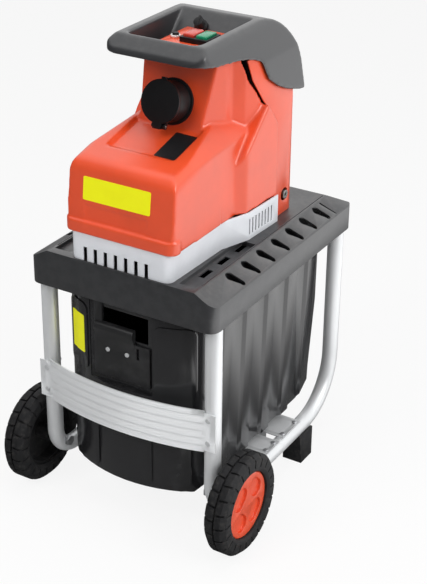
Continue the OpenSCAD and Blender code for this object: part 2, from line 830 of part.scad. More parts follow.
function round_rect(x0, x1, z0, z1, r) = concat(
  arc([x1 - r, z0 + r], r, -90, 0, 4), arc([x1 - r, z1 - r], r, 0, 90, 4),
  arc([x0 + r, z1 - r], r, 90, 180, 4), arc([x0 + r, z0 + r], r, 180, 270, 4));
module box_panels() {
  intersection() {
    box_form(-front_pad);
    along_y(-2 * box_front, -box_front / 2) for (p = upper_panels)
      polygon(round_rect(p[0], p[1], upper_panel_z[0], upper_panel_z[1], panel_r));
  }
  intersection() {
    box_form(-front_pad);
    along_y(-2 * box_front, -box_front / 2) for (p = lower_panels)
      polygon(round_rect(p[0], p[1], lower_panel_z[0], lower_panel_z[1], panel_r));
  }
}
module pocket(t) {
  block([pocket_x - pocket_w / 2 - t, -box_front - 2 * over, pocket_z - t],
    [pocket_x + pocket_w / 2 + t, pocket_y + t, box_top + 3 * over]);
}
module collection_box() {
  color(black) at_deck() difference() {
    union() {
      box_form(0);
      box_ribs();
      box_panels();
    }
    pocket(0);
    difference() {
      box_form(box_wall);
      pocket(box_wall);
    }
    block([window_x - window_w / 2, pocket_y - over, window_top - window_h],
      [window_x + window_w / 2, pocket_y + 2 * box_wall, window_top]);
    for (s = [-1, 1]) translate([latch_screw_x + s * latch_screw_gap / 2, 0, latch_screw_z]) {
      for (z = [-pass_fit, latch_travel + pass_fit]) {
        translate([0, 0, z]) rod_y(latch_screw_r + pass_fit, pocket_y - over, pocket_y + 2 * box_wall);
      }
      block([-latch_screw_r - pass_fit, pocket_y - over, -pass_fit],
        [latch_screw_r + pass_fit, pocket_y + 2 * box_wall, latch_travel + pass_fit]);
    }
  }
}
module latch_screws() {
  face = pocket_y - pass_fit - latch_t;
  inner = pocket_y + box_wall + pass_fit;
  color(steel) at_deck() for (s = [-1, 1])
    translate([latch_screw_x + s * latch_screw_gap / 2, 0, latch_screw_z]) {
    rod_y(latch_screw_r, face - over, inner + 4);
    rod_y(latch_screw_r * 1.8, face - 2.5, face);
    rod_y(latch_screw_r * 2.2, inner, inner + 4);
  }
}
module latch_plate() {
  back = pocket_y - pass_fit;
  grip_top = latch_z + latch_h;
  color(black) at_deck() difference() {
    union() {
      block([latch_x - latch_w / 2, back - latch_t, latch_z],
        [latch_x + latch_w / 2, back, latch_z + latch_plate_h]);
      translate([grip_x, 0, 0]) along_x(grip_w) polygon(concat([[back, grip_top]],
        arc([back - 2, grip_top - grip_out], grip_out, 90, 180, 6),
        [[back - latch_t, grip_top - grip_h], [back, grip_top - grip_h]]));
      block([tongue_x - tongue_w / 2, back - latch_t, latch_z + latch_plate_h - over],
        [tongue_x + tongue_w / 2, back, tongue_top]);
    }
    for (s = [-1, 1]) translate([latch_screw_x + s * latch_screw_gap / 2, 0, latch_screw_z])
      rod_y(latch_screw_r + run_fit, back - latch_t - over, back + over);
    block([grip_x + grip_w / 2 + 4, back - latch_t - over, latch_z + latch_plate_h - 30],
      [grip_x + grip_w / 2 + 10, back + over, latch_z + latch_plate_h - 6]);
  }
}

// Vented skirt under the motor cover
function skirt_plan(t) = both_sides(concat(
  arc([nose_hw - 8 - nose_corner, -nose_front + 1 + nose_corner], nose_corner - t, -90, 0, 5),
  [[nose_hw - 4 - t, fold_y - 20], [nose_rear_hw - 1 - t, fold_y + fold_l + 6],
    [nose_rear_hw + 4 - t, part_line[0][0] - part_gap]]));
module motor_skirt() {
  vent_w = 8;
  vent_pitch = 22;
  vent_x = -8;
  color(light_grey) on_deck() difference() {
    linear_extrude(height = skirt_h) polygon(skirt_plan(0));
    translate([0, 0, -over]) linear_extrude(height = skirt_h + 2 * over) polygon(skirt_plan(shell));
    for (i = [0:vent_count - 1]) {
      x = vent_x + (i - (vent_count - 1) / 2) * vent_pitch;
      block([x - vent_w / 2, -nose_front - over, -over],
        [x + vent_w / 2, -nose_front + 3 * shell, skirt_h / 2]);
    }
    for (i = [0:7]) {
      y = -32 + 11 * i;
      block([-nose_rear_hw - 20, y - 2, 10], [nose_rear_hw + 20, y + 2, skirt_h - 14]);
    }
    block([2 * shell - nose_rear_hw, part_line[0][0] - part_gap - 2 * shell, -over],
      [nose_rear_hw - 2 * shell, part_line[0][0], skirt_h + over]);
  }
}

// Front shell: nose over the motor, and tower that carries the mains inlet
function front_zone(gap) = concat([[-2 * nose_front, -over], for (p = part_line) [p[0] - gap, p[1] - over]],
  [[-2 * nose_front, 420]]);
function top_h(y) = slope_start[1] + (y - slope_start[0]) * tan(nose_slope);
function nose_side(t) = concat([[2 * part_line[0][0], skirt_h - (t > 0 ? over : 0)],
  [-nose_front + t, skirt_h - (t > 0 ? over : 0)]],
  arc(nose_edge, nose_edge_r - t, 180, 90 + nose_slope, 5),
  [[2 * part_line[0][0], top_h(2 * part_line[0][0]) - t]]);
function nose_plan(t) = both_sides(concat(
  arc([nose_hw - nose_corner, -nose_front + nose_corner], nose_corner - t, -90, 0, 5),
  [[nose_hw - t, part_line[0][0] + over]]));
// Section square to the sloping top, with rounded shoulders
function nose_section(hw, t) = both_sides([[hw + 6 - t, -nose_front], [hw - t, -20 - t / 2],
  [hw - 3 - t, -9 - t], [hw - 8 - t, -3 - t], [hw - 15 - t, -t], [hw - 22 - t, 4 - t]]);
function fold_plan(t) = both_sides([[nose_hw - nose_draft - 8 - t, fold_y],
  [nose_rear_hw - 4 - t, fold_y + fold_l], [nose_rear_hw - t, part_line[0][0] + over]]);
function fold_side(t) = [[fold_y - over, skirt_h - (t > 0 ? over : 0)],
  [2 * part_line[0][0], skirt_h - (t > 0 ? over : 0)], [2 * part_line[0][0], fold_h + fold_run - t],
  [fold_y + fold_run, fold_h + fold_run - 1.4 * t], [fold_y - over, fold_h - over - 1.4 * t]];
// Plan with a slanted flat from each front corner to a ridge, and a flare to the rear shell
function tower_plan(t) = both_sides([[tower_hw - t, 2 * face_y], [tower_hw + 1 - t, face_y + 8],
  [tower_hw + 18 - t, face_y + 56], [tower_hw + 20 - t, face_y + 70], [rear_hw - 22 - t, -6],
  [rear_hw - 11 - t, 16], [rear_hw - 6 - t, 45], [rear_hw - 4 - t, 90]]);
function tower_side(t) = [[2 * part_line[0][0], face_h - 50],
  [face_y - 50 / tan(face_lean) + t, face_h - 50],
  [face_top_y + t, face_top_h], [face_top_y + 6 + t, tower_h + (t > 0 ? over : 0)],
  [2 * part_line[0][0], tower_h + (t > 0 ? over : 0)]];
function drafted(hw, t) = both_sides([[hw - t, -over], [hw - t, draft_h],
  [hw - draft_in - t, tower_h + 2 * over]]);
// Slanted flat along each shoulder, wider towards the tower
module shoulder_flat(t) {
  translate([nose_hw - 12, shoulder_y, top_h(shoulder_y) - 1.3 * t]) rotate([nose_slope, 0, shoulder_turn])
    rotate([0, shoulder_tilt, 0]) block([-tower_hw, -nose_front, 0],
      [2 * tower_hw, 2 * nose_front, tower_h]);
}
module nose_form(t) {
  difference() {
    intersection() {
      linear_extrude(height = tower_h) polygon(nose_plan(t));
      along_x(4 * nose_hw) polygon(nose_side(t));
      translate([0, slope_start[0], slope_start[1]]) rotate([nose_slope, 0, 0])
        along_y(-nose_front, 2 * nose_front) polygon(nose_section(nose_hw - nose_draft, t));
    }
    both_x() shoulder_flat(t);
  }
  intersection() {
    linear_extrude(height = tower_h) polygon(fold_plan(t));
    along_x(4 * nose_hw) polygon(fold_side(t));
  }
}
module front_lip() {
  intersection() {
    translate([0, 0, skirt_h]) linear_extrude(height = lip_h) polygon(nose_plan(-lip_out));
    block([-2 * nose_hw, -2 * nose_front, 0], [2 * nose_hw, 1.4 * nose_corner - nose_front, tower_h]);
  }
}
module front_recess() {
  lean = nose_lean / (nose_face_h - skirt_h);
  base = skirt_h + lip_h + over;
  front = -nose_front + lip_h * lean + shell / 2;
  translate([recess_x, 0, 0]) along_x(recess_w) polygon([[-2 * nose_front, base], [front, base],
    [front + recess_h * lean, base + recess_h], [-2 * nose_front, base + recess_h]]);
}
module scoop(t) {
  ramp_y = scoop_y + scoop_ramp;
  along_x(2 * (scoop_hw + t)) polygon([[scoop_y - t, top_h(scoop_y) - t],
    [ramp_y, top_h(ramp_y) - scoop_depth - t], [face_y, top_h(face_y) - scoop_depth - t],
    [face_y + (tower_h - face_h) / tan(face_lean), tower_h], [scoop_y - t, tower_h]]);
}
module tower_form(t) {
  intersection() {
    linear_extrude(height = 2 * tower_h) polygon(tower_plan(t));
    along_x(4 * nose_hw) polygon(tower_side(t));
    along_y(-2 * nose_front, 2 * nose_front) polygon(drafted(rear_hw - 4, t));
  }
}
module front_housing() {
  color(red) on_deck() difference() {
    intersection() {
      difference() {
        union() {
          difference() {
            nose_form(0);
            scoop(0);
          }
          tower_form(0);
          front_lip();
        }
        difference() {
          nose_form(shell);
          scoop(shell);
        }
        tower_form(shell);
      }
      along_x(4 * nose_hw) polygon(front_zone(part_gap));
    }
    on_face() translate([0, 0, -4 * shell]) cylinder(r = cup_r / 2, h = 8 * shell);
    front_recess();
    both_x() block([nose_hw - 4 * shell, slit_y - slit_w / 2, skirt_h - over],
      [nose_hw + shell, slit_y + slit_w / 2, skirt_h + slit_h]);
  }
}

// Rear shell round the feed chute
function rear_plan(t) = both_sides(concat([[rear_hw - t, -2 * rear_y]],
  arc([rear_hw - 20, rear_y - 20], 20 - t, 0, 90, 4)));
module rear_form(t) {
  intersection() {
    translate([0, 0, t > 0 ? -over : 0]) linear_extrude(height = rear_top + (t > 0 ? 3 * over : 0))
      polygon(rear_plan(t));
    along_y(-2 * rear_y, 2 * rear_y) polygon(drafted(rear_hw, t));
  }
}
module rear_housing() {
  color(red) on_deck() difference() {
    rear_form(0);
    rear_form(shell);
    along_x(4 * nose_hw) polygon(front_zone(0));
    block([-2 * rear_hw, rear_y - 14, mouth_h + sill_h], [2 * rear_hw, 2 * rear_y, 2 * tower_h]);
    translate([0, adjuster_y, adjuster_h]) rod_x(adjuster_recess_r, 0, 2 * rear_hw);
  }
}

// Hood with the control well and the feed mouth
function hood_side() = concat([[visor_front, hood_h - 31], [visor_front + 4, hood_h - 21], [-131, hood_h]],
  arc([hood_rear_y, hood_h - hood_rear_r], hood_rear_r, 90, 0, 8),
  [[hood_rear_y + hood_rear_r, lobe_h], [155, lobe_h + 2], [110, lobe_h + 15], [76, lobe_h + 30],
    [44, lobe_h + 52], [27, lobe_h + 88], [10, lobe_h + 96], [-16, hood_h - 50], [-59, hood_h - 43],
    [-118, hood_h - 37]]);
function hood_side_inner(t) = concat([[visor_front + 1.4 * t, 0],
  [visor_front + 4 + 1.4 * t, hood_h - 21 - 0.5 * t],
  [-131 + 0.5 * t, hood_h - t]],
  arc([hood_rear_y, hood_h - hood_rear_r], hood_rear_r - t, 90, 0, 8),
    [[hood_rear_y + hood_rear_r - t, 0]]);
function hood_ends(t) = both_sides([[hood_out_hw - t, lobe_h - (t > 0 ? 40 : 0)],
  [hood_out_hw - 15 - t, hood_h - 65], [hood_out_hw - 35 - t, hood_h - 9 - 0.4 * t],
  [hood_out_hw - 44 - t, hood_h - t]]);
// Plan with the visor's rounded front corners
function hood_plan(t) = both_sides(concat(
  arc([visor_hw - visor_corner, visor_front - over / 2 + visor_corner], visor_corner - t, -90, 0, 8),
  [[visor_hw + 12 - t, -59], [hood_out_hw + 4 - t, 0], [hood_out_hw + 4 - t, 2 * nose_front]]));
function well_plan() = both_sides(concat(
  arc([well_hw - well_corner, well_front + well_corner - over], well_corner, -90, 0, 6),
  [[well_hw, 2 * well_back_top]]));
function well_outline(t) = [[well_front - t, well_top], [well_front - t + 3, well_floor + well_ramp - t],
  [face_top_y, well_floor - t], [well_back + 0.4 * t, well_floor - t], [well_back_top + 1.4 * t, well_top]];
module hood_outer() {
  intersection() {
    along_x(4 * hood_out_hw) polygon(hood_side());
    along_y(-2 * nose_front, 2 * nose_front) polygon(hood_ends(0));
    linear_extrude(height = 2 * tower_h) polygon(hood_plan(0));
  }
}
module hood_inner() {
  intersection() {
    along_x(4 * hood_out_hw) polygon(hood_side_inner(hood_wall));
    along_y(-2 * nose_front, 2 * nose_front) polygon(hood_ends(hood_wall));
    translate([0, 0, -over]) linear_extrude(height = 2 * tower_h) polygon(hood_plan(hood_wall));
  }
}
module hood() {
  color(dark_grey) on_deck() difference() {
    union() {
      difference() {
        hood_outer();
        hood_inner();
      }
      intersection() {
        along_x(2 * (well_hw + well_floor_t)) polygon(well_outline(well_floor_t));
        block([-hood_out_hw, -nose_front, 0], [hood_out_hw, nose_front, hood_h - hood_wall / 2]);
      }
      // Web that closes the hollow beside the well, above the tower
      intersection() {
        hood_outer();
        block([-2 * hood_out_hw, web_y, tower_h + web_gap],
          [2 * hood_out_hw, web_y + hood_wall, hood_h - hood_wall / 2]);
      }
    }
    intersection() {
      along_x(2 * (well_hw + over)) polygon(well_outline(0));
      linear_extrude(height = 2 * tower_h) polygon(well_plan());
    }
    block([-mouth_hw, hood_rear_y + 30, 0], [mouth_hw, 3 * hood_rear_y, hood_h - 28]);
    on_well_back() translate([0, 0, -20]) cylinder(r = knob_stem_r + run_fit, h = 40);
  }
}

// Control panel with its buttons and selector
module control_panel() {
  run = 1 / tan(well_tilt);
  foot = well_back - 0.5;
  color(red) on_deck() difference() {
    along_x(2 * panel_hw) polygon([[panel_front, well_floor], [foot, well_floor],
      [foot + panel_h * run, panel_top], [panel_front, panel_top]]);
    translate([reset_x, reset_y, panel_top - 8 - reset_travel]) cylinder(r = reset_r + pass_fit, h = 20);
    on_well_back() translate([0, 0, -5]) cylinder(r = knob_d / 2 + 1, h = 60);
  }
}
module switch_base() {
  color(black) on_deck() translate([switch_x, switch_y, panel_top]) difference() {
    block([-switch_w / 2, -switch_l / 2, 0], [switch_w / 2, switch_l / 2, switch_t]);
    for (s = [-1, 1]) translate([s * button_pitch / 2, 0, 0])
      block([-button_w / 2 - pass_fit, -button_l / 2 - pass_fit, switch_floor],
        [button_w / 2 + pass_fit, button_l / 2 + pass_fit, switch_t + over]);
  }
}
module push_button(side) {
  on_deck() translate([switch_x + side * button_pitch / 2, switch_y, panel_top])
    block([-button_w / 2, -button_l / 2, switch_floor + button_travel + pass_fit],
      [button_w / 2, button_l / 2, switch_t + button_rise]);
}
module stop_button() { color("#d03a2a") push_button(-1); }
module start_button() { color("#1f9a52") push_button(1); }
module reset_bezel() {
  color("white") on_deck() translate([reset_x, reset_y, panel_top]) difference() {
    cylinder(r = reset_bezel_r, h = reset_bezel_t);
    translate([0, 0, -over]) cylinder(r = reset_r + pass_fit, h = reset_bezel_t + 2 * over);
  }
}
module reset_button() {
  color(black) on_deck() translate([reset_x, reset_y, panel_top - 6])
    cylinder(r = reset_r, h = 6 + reset_bezel_t + reset_travel + 1);
}
module selector_knob() {
  flange = 0.4;
  under = -well_floor_t - 5;
  color(black) on_deck() on_well_back() {
    translate([0, 0, under]) cylinder(r = knob_stem_r, h = 10 - under);
    translate([0, 0, under - 3]) cylinder(r = knob_stem_r + 2.5, h = 3);
    translate([0, 0, flange]) cylinder(d = knob_d, h = 7);
    translate([0, 0, flange + 7 - over]) cylinder(d = knob_d * 0.72, h = 15);
    block([-2, -knob_d / 2 + 1, flange + 5], [2, knob_d / 2 - 1, flange + 23]);
  }
}

// Mains inlet on the tower's face, with its hinged cap
module inlet_collar() {
  color(black) on_deck() on_face() difference() {
    union() {
      cylinder(r = collar_r + 5, h = 4);
      cylinder(r = collar_r, h = collar_l);
      both_x() block([knuckle_w / 2 + pass_fit, hinge_v, hinge_n - hinge_out_r],
        [knuckle_w / 2 + pass_fit + ear_w, -collar_r * 0.8, hinge_n]);
      both_x() translate([0, hinge_v, hinge_n])
        rod_x(hinge_out_r, knuckle_w / 2 + pass_fit, knuckle_w / 2 + pass_fit + ear_w);
    }
    translate([0, 0, cup_floor]) cylinder(r = cup_r, h = collar_l);
    translate([0, hinge_v, hinge_n]) rod_x(hinge_r + run_fit, -collar_r, collar_r);
    for (a = pin_angles) rotate([0, 0, a]) translate([0, pin_circle, -over])
      cylinder(r = pin_r + run_fit, h = cup_floor + 2 * over);
  }
}
pin_angles = [90, 210, 330];
pin_circle = 11;
pin_r = 2.4;
module inlet_pins() {
  color(brass) on_deck() on_face() for (a = pin_angles) rotate([0, 0, a]) translate([0, pin_circle, over])
    cylinder(r = pin_r, h = cup_floor + 20);
}
module inlet_hinge_pin() {
  half = knuckle_w / 2 + pass_fit + ear_w + 1;
  color(steel) on_deck() on_face() translate([0, hinge_v, hinge_n]) rod_x(hinge_r, -half, half);
}
module inlet_cover() {
  face = collar_l + cap_gap;
  color(black) on_deck() on_face() difference() {
    union() {
      translate([0, 0, face]) cylinder(d = cap_d, h = cap_t);
      block([-knuckle_w / 2, hinge_v, face], [knuckle_w / 2, -cap_d / 2 + 8, face + cap_t]);
      translate([0, hinge_v, hinge_n]) rod_x(hinge_out_r, -knuckle_w / 2, knuckle_w / 2);
      block([-knuckle_w / 2, hinge_v - hinge_out_r, hinge_n], [knuckle_w / 2, hinge_v, face + cap_t]);
      block([-5, cap_d / 2 - 4, face], [5, cap_d / 2 + 4, face + cap_t - 2]);
    }
    translate([0, hinge_v, hinge_n]) rod_x(hinge_r + run_fit, -collar_r, collar_r);
  }
}

// Feed chute from the mouth down to the cutter
module chute_form(t) {
  lift = t > 0 ? over : 0;
  front = chute_front_y + t;
  back = rear_y - shell - 4 - t;
  top_hw = rear_hw - 24 - t;
  mid_hw = rear_hw - 12 - t;
  hull() {
    block([-top_hw, front, chute_front_h + 3 * lift], [top_hw, front + 1, chute_front_h + 3 * lift + 1]);
    block([-mid_hw, back - 1, chute_top + 3 * lift], [mid_hw, back, chute_top + 3 * lift + 1]);
    block([t - drum_r - 6, cutter_front + 4 + t, cutter_h - lift],
      [anvil_x + 4 - t, cutter_back + 2 - t, cutter_h + 1]);
  }
}
module feed_chute() {
  color(dark_grey) on_deck() difference() {
    chute_form(0);
    chute_form(chute_wall);
  }
}

// Motor
module on_motor() { on_deck() translate([0, 0, motor_h]) children(); }
module motor_case() {
  color(steel) on_motor() difference() {
    rod_y(motor_r, motor_front, motor_back);
    rod_y(rotor_r + rotor_air, motor_front - over, motor_back + over);
  }
}
module motor_shield(y0) {
  color(silver) on_motor() difference() {
    rod_y(motor_r - 4, y0, y0 + shield_t);
    rod_y(motor_shaft_r + run_fit, y0 - over, y0 + shield_t + over);
  }
}
module motor_front_shield() { motor_shield(motor_front - shield_t); }
module motor_rear_shield() { motor_shield(motor_back); }
module motor_mount() {
  mid = (motor_front + motor_back) / 2;
  color(steel) on_deck() difference() {
    block([-58, mid - 40, 0], [58, mid + 40, motor_h - motor_r * 0.6]);
    translate([0, 0, motor_h]) rod_y(motor_r + pass_fit, mid - 60, mid + 60);
    block([-40, mid - 60, 6], [40, mid + 60, motor_h - motor_r - 6]);
  }
}
module run_capacitor() {
  reach = motor_r + capacitor_r + pass_fit;
  mid = (motor_front + motor_back) / 2;
  color(light_grey) on_motor() translate([-reach * cos(capacitor_a), 0, reach * sin(capacitor_a)])
    rod_y(capacitor_r, mid - capacitor_l / 2, mid + capacitor_l / 2);
}
module motor_rotor() {
  color(steel) on_motor() {
    rod_y(motor_shaft_r, motor_front - 27, gearbox_front + gearbox_wall);
    rod_y(pinion_seat_r, gearbox_front + gearbox_wall - over, first_y + first_w);
    rod_y(rotor_r, motor_front + 10, motor_back - 10);
  }
}
module cooling_fan() {
  fan_y = motor_front - 25;
  fan_w = 16;
  color(black) on_motor() difference() {
    union() {
      rod_y(motor_shaft_r + 6, fan_y, fan_y + fan_w);
      for (i = [0:6]) {
        rotate([0, 360 / 7 * i, 0]) block([motor_shaft_r + 3, fan_y, -1.5], [fan_r, fan_y + fan_w, 1.5]);
      }
    }
    rod_y(motor_shaft_r + run_fit, fan_y - over, fan_y + fan_w + over);
  }
}

// Gear train in its case
module gear(m, z, turn, bore, y0, w) {
  along_y(y0, y0 + w) difference() {
    rotate(turn) polygon(gear_outline(m, z));
    circle(r = (bore + run_fit) / cos(15), $fn = 12);
  }
}
module motor_pinion() {
  color(steel) on_motor() gear(first_module, pinion_teeth, first_angle, pinion_seat_r, first_y, first_w);
}
module on_idler() { on_deck() translate([idler_x, 0, idler_h]) children(); }
module idler_shaft() {
  color(steel) on_idler() rod_y(idler_r, gearbox_front + 1, gearbox_back + gearbox_lid - 1);
}
module first_gear() {
  color(steel) on_idler() gear(first_module, wheel_teeth, first_angle + 180 + 180 / wheel_teeth, idler_r,
    first_y, first_w);
}
module second_pinion() {
  color(steel) on_idler() gear(second_module, pinion_teeth, second_angle, idler_r, second_y, second_w);
}
module on_drum() { on_deck() translate([0, 0, drum_h]) children(); }
module output_gear() {
  color(steel) on_drum() gear(second_module, wheel_teeth, second_angle + 180 + 180 / wheel_teeth,
    drum_shaft_r,
    second_y, second_w);
}
gear_room = 4;
case_x0 = -second_module * (wheel_teeth / 2 + 1) - gear_room - gearbox_wall;
case_x1 = idler_x + first_module * (wheel_teeth / 2 + 1) + gear_room + gearbox_wall;
case_h1 = idler_h + first_module * (wheel_teeth / 2 + 1) + gear_room + gearbox_wall;
module gearbox_case() {
  color(silver) on_deck() difference() {
    block([case_x0, gearbox_front, 0], [case_x1, gearbox_back, case_h1]);
    block([case_x0 + gearbox_wall, gearbox_front + gearbox_wall, gearbox_wall],
      [case_x1 - gearbox_wall, gearbox_back + over, case_h1 - gearbox_wall]);
    translate([0, 0, motor_h])
      rod_y(motor_shaft_r + 2, gearbox_front - over, gearbox_front + 2 * gearbox_wall);
    translate([idler_x, 0, idler_h])
      rod_y(idler_r + run_fit, gearbox_front + 0.5, gearbox_front + 2 * gearbox_wall);
  }
}
module gearbox_cover() {
  color(silver) on_deck() difference() {
    block([case_x0, gearbox_back, 0], [case_x1, gearbox_back + gearbox_lid, case_h1]);
    translate([idler_x, 0, idler_h])
      rod_y(idler_r + run_fit, gearbox_back - over, gearbox_back + gearbox_lid - 0.5);
    translate([0, 0, drum_h])
      rod_y(bearing_r + run_fit, gearbox_back - over, gearbox_back + gearbox_lid + over);
  }
}

// Cutter drum, its frame and the counter plate
module drum_bearings() {
  color(silver) on_drum() for (p = [[gearbox_back, gearbox_lid], [cutter_front, cutter_plate],
    [cutter_back, cutter_plate]])
    difference() {
      rod_y(bearing_r, p[0], p[0] + p[1]);
      rod_y(drum_shaft_r + run_fit, p[0] - over, p[0] + p[1] + over);
    }
}
module drum_shaft() {
  color(steel) on_drum() rod_y(drum_shaft_r, second_y - 2, cutter_back + cutter_plate);
}
module cutter_drum() {
  y0 = cutter_front + cutter_plate + 2;
  y1 = cutter_back - 2;
  color(steel) on_drum() difference() {
    union() {
      rod_y(drum_core_r, y0, y1);
      intersection() {
        rod_y(drum_r, y0, y1);
        for (i = [0:drum_teeth - 1]) {
          rotate([0, 360 / drum_teeth * (i + 0.5), 0]) block([drum_core_r - 3, y0, -5],
            [drum_r + 2, y1, 5]);
        }
      }
    }
    rod_y(drum_shaft_r + run_fit, y0 - over, y1 + over);
  }
}
module cutter_frame() {
  color(silver) on_deck() difference() {
    union() {
      for (y = [cutter_front, cutter_back]) {
        block([-cutter_hw_left, y, 0], [cutter_hw_right, y + cutter_plate, cutter_h]);
      }
      block([-cutter_hw_left, cutter_front, 0],
        [-cutter_hw_left + cutter_plate, cutter_back + cutter_plate, cutter_h]);
      block([bridge_x, cutter_front, 0], [cutter_hw_right, cutter_back + cutter_plate, cutter_h]);
    }
    translate([0, 0, drum_h])
      rod_y(bearing_r + run_fit, cutter_front - over, cutter_back + cutter_plate + over);
    translate([0, adjuster_y, adjuster_h])
      rod_x(adjuster_r + run_fit, bridge_x - over, cutter_hw_right + over);
  }
}
module anvil_plate() {
  color(steel) on_deck() difference() {
    block([anvil_x, cutter_front + cutter_plate + pass_fit, anvil_h0],
      [anvil_x + anvil_t, cutter_back - pass_fit, anvil_h1]);
    translate([0, adjuster_y, adjuster_h])
      rod_x(adjuster_r + run_fit, anvil_x - over, anvil_x + anvil_t + over);
  }
}
module anvil_screw() {
  color(steel) on_deck() translate([0, adjuster_y, adjuster_h]) difference() {
    union() {
      rod_x(adjuster_r, anvil_x + 4, rear_hw);
      rod_x(adjuster_r + 3, cutter_hw_right + pass_fit, cutter_hw_right + 5);
      rod_x(adjuster_head_r, rear_hw - 6, rear_hw + 3);
    }
    rod_x(4, rear_hw - 1, rear_hw + 4, $fn = 6);
  }
}

left_frame_tube();
right_frame_tube();
front_band();
band_bolts();
front_cross_plate();
rear_cross_plate();
plate_rivets();
left_axle();
right_axle();
axle_spacers();
axle_nuts();
left_foot();
right_foot();
foot_screws();
deck();
interlock_switch();
motor_skirt();
front_housing();
rear_housing();
hood();
control_panel();
switch_base();
reset_bezel();
inlet_collar();
inlet_pins();
inlet_hinge_pin();
feed_chute();
motor_case();
motor_front_shield();
motor_rear_shield();
motor_mount();
run_capacitor();
gearbox_case();
gearbox_cover();
cutter_frame();
drum_bearings();
left_tyre();
left_hub();
right_tyre();
right_hub();
collection_box();
latch_screws();
latch_plate();
inlet_cover();
start_button();
stop_button();
reset_button();
selector_knob();
motor_rotor();
cooling_fan();
motor_pinion();
idler_shaft();
first_gear();
second_pinion();
drum_shaft();
cutter_drum();
output_gear();
anvil_plate();
anvil_screw();
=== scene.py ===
import json
import math

import bmesh
import bpy
from bpy.props import FloatProperty, FloatVectorProperty, IntProperty, PointerProperty
from mathutils import Matrix, Vector
from mathutils.geometry import intersect_point_line

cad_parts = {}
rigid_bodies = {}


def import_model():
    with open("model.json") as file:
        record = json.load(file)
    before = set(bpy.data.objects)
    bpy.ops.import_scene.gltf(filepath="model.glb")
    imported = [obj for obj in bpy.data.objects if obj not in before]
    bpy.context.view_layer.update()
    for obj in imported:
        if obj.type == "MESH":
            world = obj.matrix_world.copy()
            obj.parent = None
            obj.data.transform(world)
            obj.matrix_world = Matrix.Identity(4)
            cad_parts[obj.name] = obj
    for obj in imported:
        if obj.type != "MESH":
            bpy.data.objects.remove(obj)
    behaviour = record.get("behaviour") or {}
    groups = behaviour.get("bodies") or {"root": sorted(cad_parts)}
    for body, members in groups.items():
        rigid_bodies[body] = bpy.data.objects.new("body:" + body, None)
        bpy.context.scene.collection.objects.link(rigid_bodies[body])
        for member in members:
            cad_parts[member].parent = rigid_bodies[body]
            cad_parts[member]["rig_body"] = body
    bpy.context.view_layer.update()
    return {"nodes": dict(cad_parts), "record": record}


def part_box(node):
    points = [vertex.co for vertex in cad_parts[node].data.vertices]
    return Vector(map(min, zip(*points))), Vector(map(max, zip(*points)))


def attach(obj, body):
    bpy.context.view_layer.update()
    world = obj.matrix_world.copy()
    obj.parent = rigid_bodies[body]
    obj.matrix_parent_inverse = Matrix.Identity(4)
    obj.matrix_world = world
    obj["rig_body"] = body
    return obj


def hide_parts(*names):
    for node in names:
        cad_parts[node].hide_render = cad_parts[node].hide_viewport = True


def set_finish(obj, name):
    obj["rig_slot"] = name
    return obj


bl_info = {
    "name": "Garden Shredder",
    "version": (1, 0, 0),
    "blender": (4, 5, 0),
    "location": "View3D > Sidebar > Shredder",
    "description": "Dresses the solids of a garden shredder with rounded shells and moulded finishes",
    "category": "Object",
}

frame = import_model()
BODY_OF = {n: b for b, nodes in frame["record"]["behaviour"]["bodies"].items() for n in nodes}
SLOT_OF = {s["node"]: s["material_slot"] for s in frame["record"]["subparts"]}

# Radii on the edges of small pieces, in metres
PIN_EDGE = 0.0004
BOLT_EDGE = 0.0006
THIN_EDGE = 0.0008
SMALL_EDGE = 0.0010
TRIM_EDGE = 0.0012
CAP_EDGE = 0.0014
LATCH_EDGE = 0.0022
SOFT_EDGE = 0.0025

# Angles in degrees: how sharp an edge has to turn to be rounded, and up to where faces are shaded as one
FINE_TURN = 20.0
BOX_TURN = 25.0
COMMON_TURN = 30.0
HUB_TURN = 35.0
BOLT_TURN = 40.0
TUBE_TURN = 50.0
BAND_SHADE = 30.0
TUBE_SHADE = 35.0
COMMON_SHADE = 40.0
SHELL_SHADE = 180.0

# Limits for joining the points and flat faces of a solid, in metres and degrees
WELD = 2e-6
FLAT = 0.4

# Triangles kept in the soft shells, and the depth of a hub's red cap
SHELL_BUDGET = 150000
HOOD_BUDGET = 120000
HUB_CAP = 0.010

# Where the front shell keeps its edges: slits beside the nose, and the parting with the rear shell as (y, z)
SLIT = (0.100, -0.0825, 0.638)
SLIT_REACH = 0.006
JOINT_LINE = (
    (0.0955, 0.544), (0.0955, 0.745), (0.0555, 0.798), (0.0255, 0.845), (0.0135, 0.885), (0.0135, 0.964))
JOINT_REACH = 0.005
LIP_HEIGHT = 0.0035
RECESS_DEPTH = 0.024
RECESS_HEIGHT = 0.060

# Slabs added to the shells: behind the front recess, and below the hood's web. Centre, size and lean of each
RECESS_BACK = ((-0.008, -0.2359, 0.640), (0.144, 0.005, 0.040), math.radians(-6.2))
HOOD_LIPS = [((side * 0.0845, 0.0055, 0.885), (0.017, 0.004, 0.014), 0.0) for side in (-1, 1)]

# Blank plates: centre, directions across and up, width, height, finish, and axis along which it is laid
BOX_PLATE = ((-0.1108, -0.2210, 0.3782), (1, -0.39, 0), (0, 0, 1), 0.040, 0.080, "yellow_plate", "Y")
FRONT_PLATE = ((-0.0078, -0.2352, 0.6852), (1, 0, 0), (0, 0.109, 1), 0.143, 0.044, "yellow_plate", "Y")
TOP_PLATE = ((0.045, -0.1227, 0.7598), (1, -0.05, 0), (0, 1, 0.238), 0.046, 0.080, "black_plate", "Z")
PLATE_CORNER = 0.003
PLATE_STEPS = 8
PLATE_LIFT = 0.004

